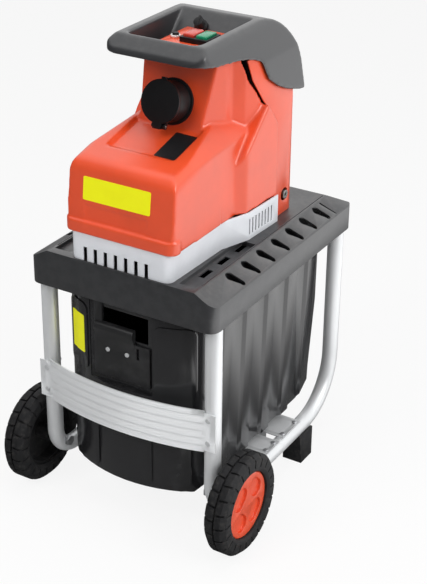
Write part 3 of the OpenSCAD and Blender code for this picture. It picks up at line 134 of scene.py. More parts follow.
# Colours of wear and dirt
DUST_GREY = (0.42, 0.40, 0.37, 1.0)
TREAD_DUST = (0.33, 0.31, 0.28, 1.0)
RUB_PALE = (0.8, 0.8, 0.8, 1.0)
PRIMER_GREY = (0.20, 0.20, 0.21, 1.0)

# Sockets of the Mix node: factor, two numbers and their result, two colours and their result
MIX_FACTOR = 0
MIX_NUMBERS = (2, 3)
MIX_NUMBER = 0
MIX_COLOURS = (6, 7)
MIX_COLOUR = 2

# Stage
WHITE = (1.0, 1.0, 1.0, 1.0)
FLOOR_HALF = 6.0
FLOOR_GREY = (0.90, 0.90, 0.90, 1.0)
FLOOR_GLOW = 0.88
# Glow of the floor seen in reflections: dark, a painted shade, and pale on the right, a painted reflection of
# a bright card; edges and widths of the pale part along x and y
MIRROR_DARK = (0.10, 0.10, 0.10, 1.0)
MIRROR_PALE = (1.9, 1.9, 1.9, 1.0)
MIRROR_X = (0.45, 0.20)
MIRROR_Y = (-0.70, 0.15)
SKY_SIDE = (0.1, 0.5, 0.7)
SKY_RANGE = {"From Min": 0.1, "From Max": 0.55, "To Min": 0.12, "To Max": 1.5}
SKY_SOFT = 0.30
LAMPS = (
    ("key", (2.8, -0.3, 1.9), 1.8, 52.0, True),
    ("fill", (-0.9, -2.6, 2.9), 1.4, 40.0, False),
    ("top", (0.2, -0.2, 3.0), 1.8, 22.0, False))
LAMP_AIM = (0, 0, 0.5)
CAMERA_PLACE = (1.3165, -2.1263, 1.7003)
CAMERA_TURN = math.radians(32.08)
CAMERA_LIFT = math.radians(26.08)
CAMERA_LENS = 88.27
CAMERA_SENSOR = 36.0
CAMERA_SHIFT = (0.0515, -0.0650)


class ShredderSizes(bpy.types.PropertyGroup):
    """Sizes of the rounded shells and of the trim"""
    shell_voxel: FloatProperty(
        name="Shell grid", description="Grid on which the soft shells are rounded",
        default=0.002, min=0.0015, max=0.004, unit="LENGTH")
    shell_rounds: IntProperty(
        name="Shell rounding", description="Passes of smoothing on the soft shells",
        default=14, min=2, max=40)
    moulded_edge: FloatProperty(
        name="Moulded edge", description="Radius on the edges of moulded plastic pieces",
        default=0.0016, min=0.0003, max=0.004, unit="LENGTH")
    sheet_edge: FloatProperty(
        name="Sheet edge", description="Radius on the edges of sheet metal",
        default=0.0006, min=0.0002, max=0.001, unit="LENGTH")
    tread_edge: FloatProperty(
        name="Tread edge", description="Radius on the blocks of the tyre tread",
        default=0.0012, min=0.0003, max=0.002, unit="LENGTH")
    plate_thickness: FloatProperty(
        name="Blank plate", description="Thickness of the blank stuck-on plates",
        default=0.0006, min=0.0002, max=0.001, unit="LENGTH")


class ShredderColours(bpy.types.PropertyGroup):
    """Colours of the finishes"""
    red: FloatVectorProperty(
        name="Housing red", description="Motor cover, hubs and control panel",
        subtype="COLOR", size=3, default=(0.82, 0.081, 0.021), min=0, max=1)
    grey: FloatVectorProperty(
        name="Deck grey", description="Deck, hood and chute",
        subtype="COLOR", size=3, default=(0.027, 0.0278, 0.0305), min=0, max=1)
    pale: FloatVectorProperty(
        name="Skirt grey", description="Vented skirt",
        subtype="COLOR", size=3, default=(0.78, 0.80, 0.84), min=0, max=1)
    black: FloatVectorProperty(
        name="Box black", description="Collection box",
        subtype="COLOR", size=3, default=(0.015, 0.015, 0.0165), min=0, max=1)
    silver: FloatVectorProperty(
        name="Tube silver", description="Painted tubes and band",
        subtype="COLOR", size=3, default=(0.76, 0.775, 0.79), min=0, max=1)
    tyre: FloatVectorProperty(
        name="Tyre black", description="Tyres",
        subtype="COLOR", size=3, default=(0.011, 0.011, 0.012), min=0, max=1)
    yellow: FloatVectorProperty(
        name="Plate yellow", description="Blank stuck-on plates",
        subtype="COLOR", size=3, default=(1.0, 0.98, 0.003), min=0, max=1)
    green: FloatVectorProperty(
        name="Start green", description="Start button",
        subtype="COLOR", size=3, default=(0.01, 0.27, 0.13), min=0, max=1)


def sizes():
    return bpy.context.scene.shredder_sizes


def colour(name):
    return tuple(getattr(bpy.context.scene.shredder_colours, name))


# Shader maths

class Sock:
    """A shader socket, so that maths on it can be written as an expression"""

    def __init__(self, paint, socket):
        self.paint = paint
        self.socket = socket

    def maths(self, operation, *others):
        node = self.paint.node("ShaderNodeMath", {"operation": operation})
        for i, value in enumerate(others):
            self.paint.feed(node.inputs[i], value)
        return Sock(self.paint, node.outputs[0])

    def __add__(self, other):
        return self.maths("ADD", self, other)

    def __radd__(self, other):
        return self.maths("ADD", other, self)

    def __sub__(self, other):
        return self.maths("SUBTRACT", self, other)

    def __rsub__(self, other):
        return self.maths("SUBTRACT", other, self)

    def __mul__(self, other):
        return self.maths("MULTIPLY", self, other)

    def __rmul__(self, other):
        return self.maths("MULTIPLY", other, self)

    def above(self, edge, width):
        """0 below edge - width, 1 above edge + width"""
        node = self.paint.node(
            "ShaderNodeMapRange", {"interpolation_type": "SMOOTHSTEP"},
            {"Value": self, "From Min": edge - width, "From Max": edge + width})
        return Sock(self.paint, node.outputs["Result"])


class Paint:
    """One material and the nodes that colour it"""

    def __init__(self, name):
        self.material = bpy.data.materials.new(name)
        self.material.use_nodes = True
        self.tree = self.material.node_tree
        self.shader = self.tree.nodes["Principled BSDF"]
        self.place = Sock(self, self.node("ShaderNodeTexCoord").outputs["Object"])

    def node(self, kind, settings=None, inputs=None):
        made = self.tree.nodes.new(kind)
        for key, value in (settings or {}).items():
            setattr(made, key, value)
        for key, value in (inputs or {}).items():
            self.feed(made.inputs[key], value)
        return made

    def feed(self, socket, value):
        if isinstance(value, Sock):
            self.tree.links.new(value.socket, socket)
        else:
            socket.default_value = value

    def noise(self, scale, detail=2.0, rough=0.5, stretch=None):
        place = self.place
        if stretch:
            place = Sock(self, self.node(
                "ShaderNodeMapping", {"vector_type": "POINT"},
                {"Vector": place, "Scale": stretch}).outputs[0])
        made = self.node("ShaderNodeTexNoise", None, {
            "Vector": place, "Scale": scale, "Detail": detail, "Roughness": rough})
        return Sock(self, made.outputs["Fac"])

    def cells(self, scale):
        made = self.node("ShaderNodeTexVoronoi", None, {"Vector": self.place, "Scale": scale})
        return Sock(self, made.outputs["Distance"])

    def mix(self, mask, first, second):
        made = self.node("ShaderNodeMix", {"data_type": "RGBA"})
        for key, value in zip((MIX_FACTOR, *MIX_COLOURS), (mask, first, second)):
            self.feed(made.inputs[key], value)
        return Sock(self, made.outputs[MIX_COLOUR])

    def shade(self, base, share):
        return tuple(min(1.0, c * share) for c in base) + (1.0,)

    def facing_up(self):
        geometry = self.node("ShaderNodeNewGeometry")
        split = self.node("ShaderNodeSeparateXYZ", None, {0: Sock(self, geometry.outputs["Normal"])})
        return Sock(self, split.outputs["Z"])

    def edges(self):
        geometry = self.node("ShaderNodeNewGeometry")
        return Sock(self, geometry.outputs["Pointiness"])

    def along(self, axis):
        split = self.node("ShaderNodeSeparateXYZ", None, {0: self.place})
        return Sock(self, split.outputs[axis])

    def set(self, **constants):
        for key, value in constants.items():
            self.shader.inputs[key.replace("_", " ")].default_value = value

    def link(self, name, value):
        self.feed(self.shader.inputs[name], value)

    def bump(self, value, strength, distance):
        made = self.node("ShaderNodeBump", None, {
            "Height": value, "Strength": strength, "Distance": distance})
        self.link("Normal", Sock(self, made.outputs["Normal"]))


def moulded_plastic(
        name, base, rough=0.42, grain=2600.0, depth=0.00012, dust=0.0, worn=0.25, shine=0.5):
    """Injection moulded plastic: fine grain, cloudy colour, pale rubbed edges and a little dust"""
    paint = Paint(name)
    cloud = paint.noise(9.0, 4.0, 0.6)
    fine = paint.noise(grain, 2.0, 0.6)
    scuff = paint.noise(60.0, 6.0, 0.75, stretch=(1.0, 0.35, 2.2)).above(0.68, 0.05)
    shade = paint.mix(cloud.above(0.5, 0.35), paint.shade(base, 0.90), paint.shade(base, 1.07))
    pale = tuple(min(1.0, 0.75 * c + 0.12) for c in base) + (1.0,)
    rubbed = paint.edges().above(0.56, 0.05) * worn * paint.noise(45.0, 5.0, 0.7).above(0.5, 0.12)
    shade = paint.mix(rubbed, shade, pale)
    shade = paint.mix(scuff * 0.12, shade, pale)
    if dust:
        lying = paint.facing_up().above(0.75, 0.2) * paint.noise(70.0, 6.0, 0.7).above(0.55, 0.15)
        shade = paint.mix(lying * dust, shade, DUST_GREY)
    paint.link("Base Color", shade)
    paint.link("Roughness", rough + 0.10 * (cloud - 0.5) + 0.12 * scuff + 0.05 * (fine - 0.5))
    paint.bump(fine + 0.35 * paint.noise(420.0, 3.0), 0.30, depth)
    paint.set(Specular_IOR_Level=shine)
    return paint.material


def glossy_plastic(name, base):
    """Smooth glossy plastic with faint cloudiness and fine rub marks"""
    paint = Paint(name)
    cloud = paint.noise(30.0, 3.0)
    rub = paint.noise(350.0, 5.0, 0.7, stretch=(1.0, 4.0, 1.0)).above(0.62, 0.06)
    shade = paint.mix(cloud, paint.shade(base, 0.88), paint.shade(base, 1.06))
    paint.link("Base Color", paint.mix(rub * 0.10, shade, RUB_PALE))
    paint.link("Roughness", 0.22 + 0.18 * rub + 0.06 * cloud)
    paint.bump(paint.noise(900.0, 3.0), 0.12, 0.0001)
    return paint.material


def silver_paint(name, base):
    """Silver powder coat: fine flake, a slight orange peel and small chips that show darker primer"""
    paint = Paint(name)
    flake = paint.cells(2200.0)
    peel = paint.noise(600.0, 2.0)
    cloud = paint.noise(12.0, 4.0)
    chip = paint.noise(160.0, 6.0, 0.7).above(0.75, 0.02)
    shade = paint.mix(cloud, paint.shade(base, 0.92), paint.shade(base, 1.05))
    shade = paint.mix(flake.above(0.35, 0.3) * 0.25, shade, paint.shade(base, 1.3))
    paint.link("Base Color", paint.mix(chip * 0.5, shade, PRIMER_GREY))
    paint.link("Roughness", 0.34 + 0.10 * cloud + 0.25 * chip)
    paint.link("Metallic", 0.35 - 0.3 * chip)
    paint.bump(peel + 0.4 * flake, 0.16, 0.00015)
    return paint.material


def bare_metal(name, base, rough=0.34, brush=(1.0, 18.0, 1.0), stain=0.18):
    """Plated or machined metal: brushed streaks, cloudy plating and faint stains"""
    paint = Paint(name)
    streak = paint.noise(140.0, 4.0, 0.6, stretch=brush)
    cloud = paint.noise(26.0, 5.0, 0.65)
    spot = paint.noise(75.0, 6.0, 0.7).above(0.66, 0.06)
    shade = paint.mix(cloud, paint.shade(base, 0.82), paint.shade(base, 1.08))
    paint.link("Base Color", paint.mix(spot * stain, shade, paint.shade(base, 0.35)))
    paint.link("Roughness", rough + 0.16 * (streak - 0.5) + 0.20 * spot)
    paint.bump(streak, 0.10, 0.0001)
    paint.set(Metallic=1.0)
    return paint.material


def tyre_rubber(name, base, rough=0.72):
    """Moulded rubber: dry sheen, small pits and pale dust in the tread"""
    paint = Paint(name)
    pit = paint.noise(900.0, 4.0, 0.6)
    cloud = paint.noise(24.0, 5.0, 0.65)
    dust = paint.noise(80.0, 6.0, 0.7).above(0.58, 0.12)
    shade = paint.mix(cloud, paint.shade(base, 0.75), paint.shade(base, 1.5))
    paint.link("Base Color", paint.mix(dust * 0.07, shade, TREAD_DUST))
    paint.link("Roughness", rough + 0.12 * (cloud - 0.5) + 0.1 * dust)
    paint.bump(pit + 0.5 * cloud, 0.35, 0.0003)
    paint.set(Specular_IOR_Level=0.3)
    return paint.material


def blank_plate(name, base):
    """Stuck-on foil plate with a soft print grain and a rubbed rim"""
    paint = Paint(name)
    cloud = paint.noise(40.0, 4.0, 0.6)
    rub = paint.noise(240.0, 5.0, 0.7).above(0.66, 0.05)
    shade = paint.mix(cloud, paint.shade(base, 0.93), paint.shade(base, 1.03))
    paint.link("Base Color", paint.mix(rub * 0.15, shade, paint.shade(base, 0.7)))
    paint.link("Roughness", 0.35 + 0.1 * cloud + 0.1 * rub)
    paint.bump(paint.noise(700.0, 3.0), 0.1, 0.0001)
    paint.set(Specular_IOR_Level=0.3)
    return paint.material


FINISHES = {}


def finish(name):
    """The named finish, made when it is first asked for"""
    if name in FINISHES:
        return FINISHES[name]
    makers = {
        "silver_tube": lambda: silver_paint("silver_paint", colour("silver")),
        "zinc_steel": lambda: bare_metal("zinc_plate", (0.60, 0.61, 0.63)),
        "gear_steel": lambda: bare_metal("gear_steel", (0.42, 0.43, 0.45), rough=0.28),
        "cast_alloy": lambda: bare_metal(
            "cast_alloy", (0.62, 0.63, 0.64), rough=0.5, brush=(1, 1, 1), stain=0.1),
        "tyre_black": lambda: tyre_rubber("tyre_rubber", colour("tyre")),
        "foot_rubber": lambda: tyre_rubber("foot_rubber", colour("tyre"), rough=0.62),
        "red_plastic": lambda: moulded_plastic(
            "red_housing", colour("red"), rough=0.32, depth=0.00005, worn=0.15, shine=0.8),
        "grey_plastic": lambda: moulded_plastic(
            "grey_deck", colour("grey"), rough=0.36, grain=1500.0, dust=0.06, shine=0.8),
        "pale_plastic": lambda: moulded_plastic("pale_skirt", colour("pale"), rough=0.45, worn=0.1),
        "black_plastic": lambda: moulded_plastic(
            "black_box", colour("black"), rough=0.20, grain=1800.0, depth=0.00004, dust=0.02, worn=0.10,
            shine=0.8),
        "contact_brass": lambda: bare_metal("contact_brass", (0.78, 0.60, 0.26), rough=0.25),
        "green_plastic": lambda: glossy_plastic("start_green", colour("green")),
        "stop_red_plastic": lambda: glossy_plastic("stop_red", (0.62, 0.05, 0.03)),
        "white_plastic": lambda: glossy_plastic("reset_white", (0.82, 0.82, 0.80)),
        "yellow_plate": lambda: blank_plate("yellow_plate", colour("yellow")),
        "black_plate": lambda: blank_plate("black_plate", (0.012, 0.012, 0.013)),
        "inlet_black": lambda: moulded_plastic(
            "inlet_black", (0.007, 0.007, 0.008), grain=1800.0, depth=0.0002, worn=0.08, shine=0.3),
        "latch_black": lambda: moulded_plastic(
            "latch_black", (0.017, 0.017, 0.018), rough=0.34, grain=1800.0, depth=0.0001, worn=0.1,
            shine=0.6),
        "plate_paint": lambda: silver_paint("plate_paint", (0.60, 0.61, 0.62)),
        "screw_black": lambda: bare_metal("screw_black", (0.22, 0.22, 0.21), rough=0.4),
    }
    FINISHES[name] = makers[name]()
    return FINISHES[name]


# Mesh work

def solid_copy(node):
    """The solid of a CAD node as a mesh of whole faces"""
    bm = bmesh.new()
    bm.from_mesh(frame["nodes"][node].data)
    bmesh.ops.remove_doubles(bm, verts=bm.verts, dist=WELD)
    bmesh.ops.dissolve_limit(
        bm, angle_limit=math.radians(FLAT), verts=bm.verts, edges=bm.edges, use_dissolve_boundaries=False)
    return bm


def round_edges(bm, width, sharper, segments):
    """Bevels the edges that turn by more than an angle"""
    limit = math.radians(sharper)
    chosen = [e for e in bm.edges if len(e.link_faces) == 2 and e.calc_face_angle(0.0) > limit]
    bmesh.ops.bevel(
        bm, geom=chosen, offset=width, offset_type="OFFSET", affect="EDGES", segments=segments,
        profile=0.5, material=-1, clamp_overlap=True)


def show(bm, name, body, slot, look, replaced=(), smooth=COMMON_SHADE):
    """Makes a piece of a mesh, with its finish, on its body"""
    mesh = bpy.data.meshes.new(name)
    bm.to_mesh(mesh)
    bm.free()
    mesh.shade_smooth()
    mesh.set_sharp_from_angle(angle=math.radians(smooth))
    piece = bpy.data.objects.new(name, mesh)
    bpy.context.scene.collection.objects.link(piece)
    mesh.materials.append(finish(look))
    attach(piece, body)
    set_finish(piece, slot)
    if replaced:
        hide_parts(*replaced)
    return piece


def dress(node, name, width, look=None, sharper=COMMON_TURN, segments=2, smooth=COMMON_SHADE):
    """A rounded piece in the place of a CAD node"""
    bm = solid_copy(node)
    round_edges(bm, width, sharper, segments)
    return show(bm, name, BODY_OF[node], SLOT_OF[node], look or SLOT_OF[node], (node,), smooth)


def paint_node(node):
    """Gives a CAD node its finish"""
    target = frame["nodes"][node]
    for slot in target.material_slots:
        slot.material = finish(SLOT_OF[node])
    if not target.material_slots:
        target.data.materials.append(finish(SLOT_OF[node]))


def with_modifier(bm, kind, **settings):
    """The mesh after one modifier"""
    mesh = bpy.data.meshes.new("work")
    bm.to_mesh(mesh)
    bm.free()
    work = bpy.data.objects.new("work", mesh)
    bpy.context.scene.collection.objects.link(work)
    modifier = work.modifiers.new("work", kind)
    for key, value in settings.items():
        setattr(modifier, key, value)
    made = work.evaluated_get(bpy.context.evaluated_depsgraph_get()).to_mesh()
    result = bmesh.new()
    result.from_mesh(made)
    bpy.data.objects.remove(work)
    bpy.data.meshes.remove(mesh)
    return result


def softened(bm, voxel, rounds, budget, crisp=None, first=3):
    """One soft shell: the mesh on a fine grid, smoothed less where it is crisp, then thinned"""
    bm = with_modifier(bm, "REMESH", mode="VOXEL", voxel_size=voxel)
    moving = list(bm.verts)
    for i in range(rounds):
        if i == first and crisp:
            moving = [v for v in bm.verts if not crisp(v.co)]
        bmesh.ops.smooth_vert(bm, verts=moving, factor=0.5, use_axis_x=True, use_axis_y=True, use_axis_z=True)
    share = min(1.0, budget / (2.0 * len(bm.faces)))
    return with_modifier(bm, "DECIMATE", decimate_type="COLLAPSE", ratio=share)


def backed(bm, centre, size, lean):
    """Adds a slab to a wall, so that the grid keeps the wall whole or the wall closes a slit"""
    place = Matrix.Translation(centre) @ Matrix.Rotation(lean, 4, "X") @ Matrix.Diagonal((*size, 1.0))
    bmesh.ops.create_cube(bm, size=1.0, matrix=place)
    return bm


def crisp_front():
    """A test for where the front shell keeps its edges: along its joint line, at its lip, recess and slits"""
    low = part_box("front_housing")[0]
    joint = [Vector(q) for q in JOINT_LINE]

    def test(p):
        if p.z < low.z + LIP_HEIGHT or (p.y < low.y + RECESS_DEPTH and p.z < low.z + RECESS_HEIGHT):
            return True
        if abs(p.x) > SLIT[0] and abs(p.y - SLIT[1]) < SLIT_REACH and p.z < SLIT[2]:
            return True
        at = Vector((p.y, p.z))
        for a, b in zip(joint, joint[1:]):
            near, share = intersect_point_line(at, a, b)
            if -0.1 <= share <= 1.1 and (near.xy - at).length < JOINT_REACH:
                return True
        return False

    return test


def stuck_plate(name, carrier, centre, across, up, width, height, look, axis):
    """A thin blank plate laid on the surface that carries it"""
    across = Vector(across).normalized()
    up = Vector(up).normalized()
    out = across.cross(up).normalized()
    bm = bmesh.new()
    bmesh.ops.create_grid(bm, x_segments=1, y_segments=1, size=0.5)
    bmesh.ops.scale(bm, vec=(width, height, 1.0), verts=bm.verts)
    bmesh.ops.bevel(bm, geom=list(bm.verts), offset=PLATE_CORNER, offset_type="OFFSET", affect="VERTICES",
                    segments=4, profile=0.5, material=-1)
    for i in range(1, PLATE_STEPS):
        for along, size in (((1, 0, 0), width), ((0, 1, 0), height)):
            bmesh.ops.bisect_plane(bm, geom=bm.verts[:] + bm.edges[:] + bm.faces[:],
                                   plane_co=(Vector(along) * size * (i / PLATE_STEPS - 0.5)), plane_no=along)
    turn = Matrix((across, up, out)).transposed().to_4x4()
    start = Matrix.Translation(Vector(centre) + PLATE_LIFT * out)
    bmesh.ops.transform(bm, matrix=start @ turn, verts=bm.verts)
    bm = with_modifier(bm, "SHRINKWRAP", target=carrier, wrap_method="PROJECT", use_project_y=axis == "Y",
                       use_project_z=axis == "Z", use_negative_direction=True, use_positive_direction=True)
    made = bmesh.ops.extrude_face_region(bm, geom=list(bm.faces))
    bmesh.ops.translate(bm, vec=out * sizes().plate_thickness,
                        verts=[v for v in made["geom"] if isinstance(v, bmesh.types.BMVert)])
    bmesh.ops.recalc_face_normals(bm, faces=bm.faces)
    return show(bm, name, carrier["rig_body"], carrier["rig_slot"], look)


def second_look(piece, look, test):
    """Gives the faces that pass a test another finish"""
    piece.data.materials.append(finish(look))
    for face in piece.data.polygons:
        if test(face.center):
            face.material_index = 1


# Stage

def make_floor(scene):
    """A matt floor that keeps the shadow, and glows in reflections: pale on the right as a painted reflection
    of a bright card, dark elsewhere as painted shade
    """
    bm = bmesh.new()
    bmesh.ops.create_grid(bm, x_segments=4, y_segments=4, size=FLOOR_HALF)
    mesh = bpy.data.meshes.new("floor")
    bm.to_mesh(mesh)
    bm.free()
    floor = bpy.data.objects.new("floor", mesh)
    scene.collection.objects.link(floor)
    paint = Paint("pale_floor")
    paint.tree.nodes.remove(paint.shader)
    rays = paint.node("ShaderNodeLightPath")
    glossy = Sock(paint, rays.outputs["Is Glossy Ray"])
    seen = Sock(paint, rays.outputs["Is Camera Ray"]) + glossy
    matt = paint.node("ShaderNodeBsdfDiffuse", None, {"Color": FLOOR_GREY})
    # The floor's glow in reflections: a painted reflection of a bright card on the right, painted shade
    # elsewhere
    right = paint.along("X").above(*MIRROR_X) * paint.along("Y").above(*MIRROR_Y)
    white = paint.mix(glossy, WHITE, paint.mix(right, MIRROR_DARK, MIRROR_PALE))
    glow = paint.node("ShaderNodeEmission", None, {"Color": white, "Strength": 1.0})
    both = paint.node("ShaderNodeMixShader", None, {
        0: seen * FLOOR_GLOW, 1: Sock(paint, matt.outputs[0]), 2: Sock(paint, glow.outputs[0])})
    paint.feed(paint.tree.nodes["Material Output"].inputs["Surface"], Sock(paint, both.outputs[0]))
    mesh.materials.append(paint.material)


def make_sky(scene):
    """A white world for the camera, soft for the surfaces and paler above and behind in reflections"""
    world = bpy.data.worlds.new("studio")
    scene.world = world
    world.use_nodes = True
    tree = world.node_tree
    background = tree.nodes["Background"]
    place = tree.nodes.new("ShaderNodeTexCoord")
    towards = tree.nodes.new("ShaderNodeVectorMath")
    towards.operation = "DOT_PRODUCT"
    towards.inputs[1].default_value = SKY_SIDE
    tree.links.new(place.outputs["Generated"], towards.inputs[0])
    side = tree.nodes.new("ShaderNodeMapRange")
    side.interpolation_type = "SMOOTHSTEP"
    for key, value in SKY_RANGE.items():
        side.inputs[key].default_value = value
    tree.links.new(towards.outputs["Value"], side.inputs["Value"])
    path = tree.nodes.new("ShaderNodeLightPath")
    glossy = tree.nodes.new("ShaderNodeMix")
    first, second = MIX_NUMBERS
    glossy.inputs[first].default_value = SKY_SOFT
    tree.links.new(path.outputs["Is Glossy Ray"], glossy.inputs[MIX_FACTOR])
    tree.links.new(side.outputs["Result"], glossy.inputs[second])
    seen = tree.nodes.new("ShaderNodeMix")
    seen.inputs[second].default_value = 1.0
    tree.links.new(path.outputs["Is Camera Ray"], seen.inputs[MIX_FACTOR])
    tree.links.new(glossy.outputs[MIX_NUMBER], seen.inputs[first])
    background.inputs["Color"].default_value = WHITE
    tree.links.new(seen.outputs[MIX_NUMBER], background.inputs["Strength"])


def make_lamps(scene):
    """Soft lamps, of which only the key shows in reflections"""
    for name, spot, size, power, mirrored in LAMPS:
        data = bpy.data.lights.new(name, "AREA")
        data.shape = "SQUARE"
        data.size = size
        data.energy = power
        lamp = bpy.data.objects.new(name, data)
        scene.collection.objects.link(lamp)
        lamp.location = spot
        lamp.visible_glossy = mirrored
        lamp.rotation_euler = (Vector(LAMP_AIM) - Vector(spot)).to_track_quat("-Z", "Y").to_euler()


def make_camera(scene):
    """The camera of the photograph"""
    data = bpy.data.cameras.new("photo_view")
    data.lens = CAMERA_LENS
    data.sensor_width = CAMERA_SENSOR
    data.shift_x, data.shift_y = CAMERA_SHIFT
    camera = bpy.data.objects.new("photo_view", data)
    scene.collection.objects.link(camera)
    level = math.cos(CAMERA_LIFT)
    look = Vector((-math.sin(CAMERA_TURN) * level, math.cos(CAMERA_TURN) * level, -math.sin(CAMERA_LIFT)))
    camera.location = CAMERA_PLACE
    camera.rotation_euler = look.to_track_quat("-Z", "Y").to_euler()
    scene.camera = camera


# Operators

class SHREDDER_OT_frame(bpy.types.Operator):
    """Painted tubes, band, cross plates and their fasteners"""
    bl_idname = "shredder.frame"
    bl_label = "Frame"

    def execute(self, context):
        for node in ("left_frame_tube", "right_frame_tube"):
            dress(node, node + "_painted", PIN_EDGE, sharper=TUBE_TURN, smooth=TUBE_SHADE)
        dress("front_band", "front_band_rolled", sizes().sheet_edge, sharper=HUB_TURN, smooth=BAND_SHADE)
        for node in ("front_cross_plate", "rear_cross_plate"):
            dress(node, node + "_sheet", sizes().sheet_edge, "plate_paint", sharper=BOLT_TURN)
        dress("band_bolts", "band_bolts_plated", BOLT_EDGE, "plate_paint", sharper=BOLT_TURN)
        for node in ("plate_rivets", "foot_screws", "axle_nuts", "left_axle", "right_axle"):
            dress(node, node + "_plated", BOLT_EDGE, sharper=BOLT_TURN)
        dress("axle_spacers", "axle_spacers_moulded", BOLT_EDGE, sharper=BOLT_TURN)
        return {"FINISHED"}


class SHREDDER_OT_wheels(bpy.types.Operator):
    """Tyres with their tread, hubs and rear feet"""
    bl_idname = "shredder.wheels"
    bl_label = "Wheels and feet"

    def execute(self, context):
        for side in ("left", "right"):
            dress(side + "_tyre", side + "_tyre_tread", sizes().tread_edge)
            hub = dress(side + "_hub", side + "_hub_moulded", TRIM_EDGE, sharper=HUB_TURN)
            low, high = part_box(side + "_hub")
            second_look(hub, "tyre_black", (lambda p: p.x > low.x + HUB_CAP) if side == "left" else
                        (lambda p: p.x < high.x - HUB_CAP))
            dress(side + "_foot", side + "_foot_moulded", SOFT_EDGE, sharper=HUB_TURN)
        return {"FINISHED"}


class SHREDDER_OT_deck(bpy.types.Operator):
    """Deck between the frame and the motor cover"""
    bl_idname = "shredder.deck"
    bl_label = "Deck"

    def execute(self, context):
        dress("deck", "deck_moulded", sizes().moulded_edge, sharper=FINE_TURN)
        paint_node("interlock_switch")
        return {"FINISHED"}


class SHREDDER_OT_box(bpy.types.Operator):
    """Collection box with its latch"""
    bl_idname = "shredder.box"
    bl_label = "Collection box"

    def execute(self, context):
        box = dress("collection_box", "collection_box_moulded", sizes().moulded_edge, sharper=BOX_TURN)
        stuck_plate("box_blank_plate", box, *BOX_PLATE)
        dress("latch_plate", "latch_plate_moulded", LATCH_EDGE, "latch_black", segments=3)
        dress("latch_screws", "latch_screws_plated", BOLT_EDGE, "plate_paint", sharper=BOLT_TURN)
        return {"FINISHED"}


class SHREDDER_OT_housing(bpy.types.Operator):
    """Skirt, front shell, rear shell and feed chute"""
    bl_idname = "shredder.housing"
    bl_label = "Motor housing"

    def execute(self, context):
        dress("motor_skirt", "motor_skirt_moulded", THIN_EDGE)
        bm = softened(
            backed(solid_copy("front_housing"), *RECESS_BACK), sizes().shell_voxel, sizes().shell_rounds,
            SHELL_BUDGET, crisp_front())
        shell = show(
            bm, "front_housing_moulded", "frame", "red_plastic", "red_plastic", ("front_housing",),
            SHELL_SHADE)
        stuck_plate("front_blank_plate", shell, *FRONT_PLATE)
        stuck_plate("top_blank_plate", shell, *TOP_PLATE)
        dress("rear_housing", "rear_housing_moulded", sizes().moulded_edge)
        dress("feed_chute", "feed_chute_moulded", THIN_EDGE, sharper=FINE_TURN)
        return {"FINISHED"}


class SHREDDER_OT_hood(bpy.types.Operator):
    """Hood with the control well"""
    bl_idname = "shredder.hood"
    bl_label = "Hood"

    def execute(self, context):
        bm = solid_copy("hood")
        for lip in HOOD_LIPS:
            backed(bm, *lip)
        bm = softened(bm, sizes().shell_voxel, sizes().shell_rounds, HOOD_BUDGET)
        show(bm, "hood_moulded", "frame", "grey_plastic", "grey_plastic", ("hood",), SHELL_SHADE)
        return {"FINISHED"}


class SHREDDER_OT_controls(bpy.types.Operator):
    """Control panel, buttons and selector"""
    bl_idname = "shredder.controls"
    bl_label = "Controls"

    def execute(self, context):
        dress("control_panel", "control_panel_moulded", TRIM_EDGE)
        dress("switch_base", "switch_base_moulded", SMALL_EDGE, "inlet_black")
        for node in ("start_button", "stop_button"):
            dress(node, node + "_moulded", SOFT_EDGE, segments=3)
        dress("reset_bezel", "reset_bezel_moulded", THIN_EDGE)
        dress("reset_button", "reset_button_moulded", TRIM_EDGE, "inlet_black")
        dress("selector_knob", "selector_knob_moulded", SMALL_EDGE, "inlet_black")
        return {"FINISHED"}


class SHREDDER_OT_inlet(bpy.types.Operator):
    """Mains inlet with its hinged cap"""
    bl_idname = "shredder.inlet"
    bl_label = "Mains inlet"

    def execute(self, context):
        dress("inlet_collar", "inlet_collar_moulded", SMALL_EDGE, "inlet_black")
        dress("inlet_cover", "inlet_cover_moulded", CAP_EDGE, "inlet_black")
        for node in ("inlet_pins", "inlet_hinge_pin"):
            dress(node, node + "_turned", PIN_EDGE)
        return {"FINISHED"}


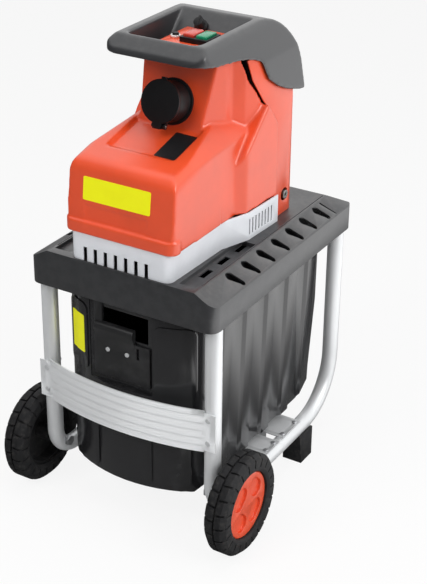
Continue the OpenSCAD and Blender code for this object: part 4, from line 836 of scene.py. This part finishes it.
class SHREDDER_OT_works(bpy.types.Operator):
    """Motor, gears and cutter inside the housing"""
    bl_idname = "shredder.works"
    bl_label = "Works"

    def execute(self, context):
        for node in ("motor_case", "motor_front_shield", "motor_rear_shield", "motor_mount", "run_capacitor",
                     "gearbox_case", "gearbox_cover", "cutter_frame", "drum_bearings", "motor_rotor",
                     "cooling_fan", "motor_pinion", "idler_shaft", "first_gear", "second_pinion",
                     "drum_shaft", "cutter_drum", "output_gear", "anvil_plate"):
            paint_node(node)
        dress("anvil_screw", "anvil_screw_plated", BOLT_EDGE, "screw_black", sharper=BOLT_TURN)
        return {"FINISHED"}


class SHREDDER_OT_stage(bpy.types.Operator):
    """Pale floor, soft light and the camera"""
    bl_idname = "shredder.stage"
    bl_label = "Stage"

    def execute(self, context):
        for make in (make_floor, make_sky, make_lamps, make_camera):
            make(context.scene)
        context.scene.view_settings.view_transform = "Standard"
        return {"FINISHED"}


OPERATORS = (
    SHREDDER_OT_stage, SHREDDER_OT_frame, SHREDDER_OT_wheels, SHREDDER_OT_deck, SHREDDER_OT_box,
    SHREDDER_OT_housing, SHREDDER_OT_hood, SHREDDER_OT_controls, SHREDDER_OT_inlet, SHREDDER_OT_works)


class SHREDDER_PT_panel(bpy.types.Panel):
    """Lists the shredder's pieces"""
    bl_idname = "SHREDDER_PT_panel"
    bl_label = "Garden Shredder"
    bl_space_type = "VIEW_3D"
    bl_region_type = "UI"
    bl_category = "Shredder"

    def draw(self, context):
        column = self.layout.column()
        for group in (context.scene.shredder_sizes, context.scene.shredder_colours):
            for key in group.__annotations__:
                column.prop(group, key)
        for operator in OPERATORS:
            column.operator(operator.bl_idname)


CLASSES = (ShredderSizes, ShredderColours) + OPERATORS + (SHREDDER_PT_panel,)


def register():
    for cls in CLASSES:
        bpy.utils.register_class(cls)
    bpy.types.Scene.shredder_sizes = PointerProperty(type=ShredderSizes)
    bpy.types.Scene.shredder_colours = PointerProperty(type=ShredderColours)


def unregister():
    del bpy.types.Scene.shredder_colours
    del bpy.types.Scene.shredder_sizes
    for cls in reversed(CLASSES):
        bpy.utils.unregister_class(cls)


def main():
    register()
    for operator in OPERATORS:
        group, name = operator.bl_idname.split(".")
        getattr(getattr(bpy.ops, group), name)()


if __name__ == "__main__":
    main()
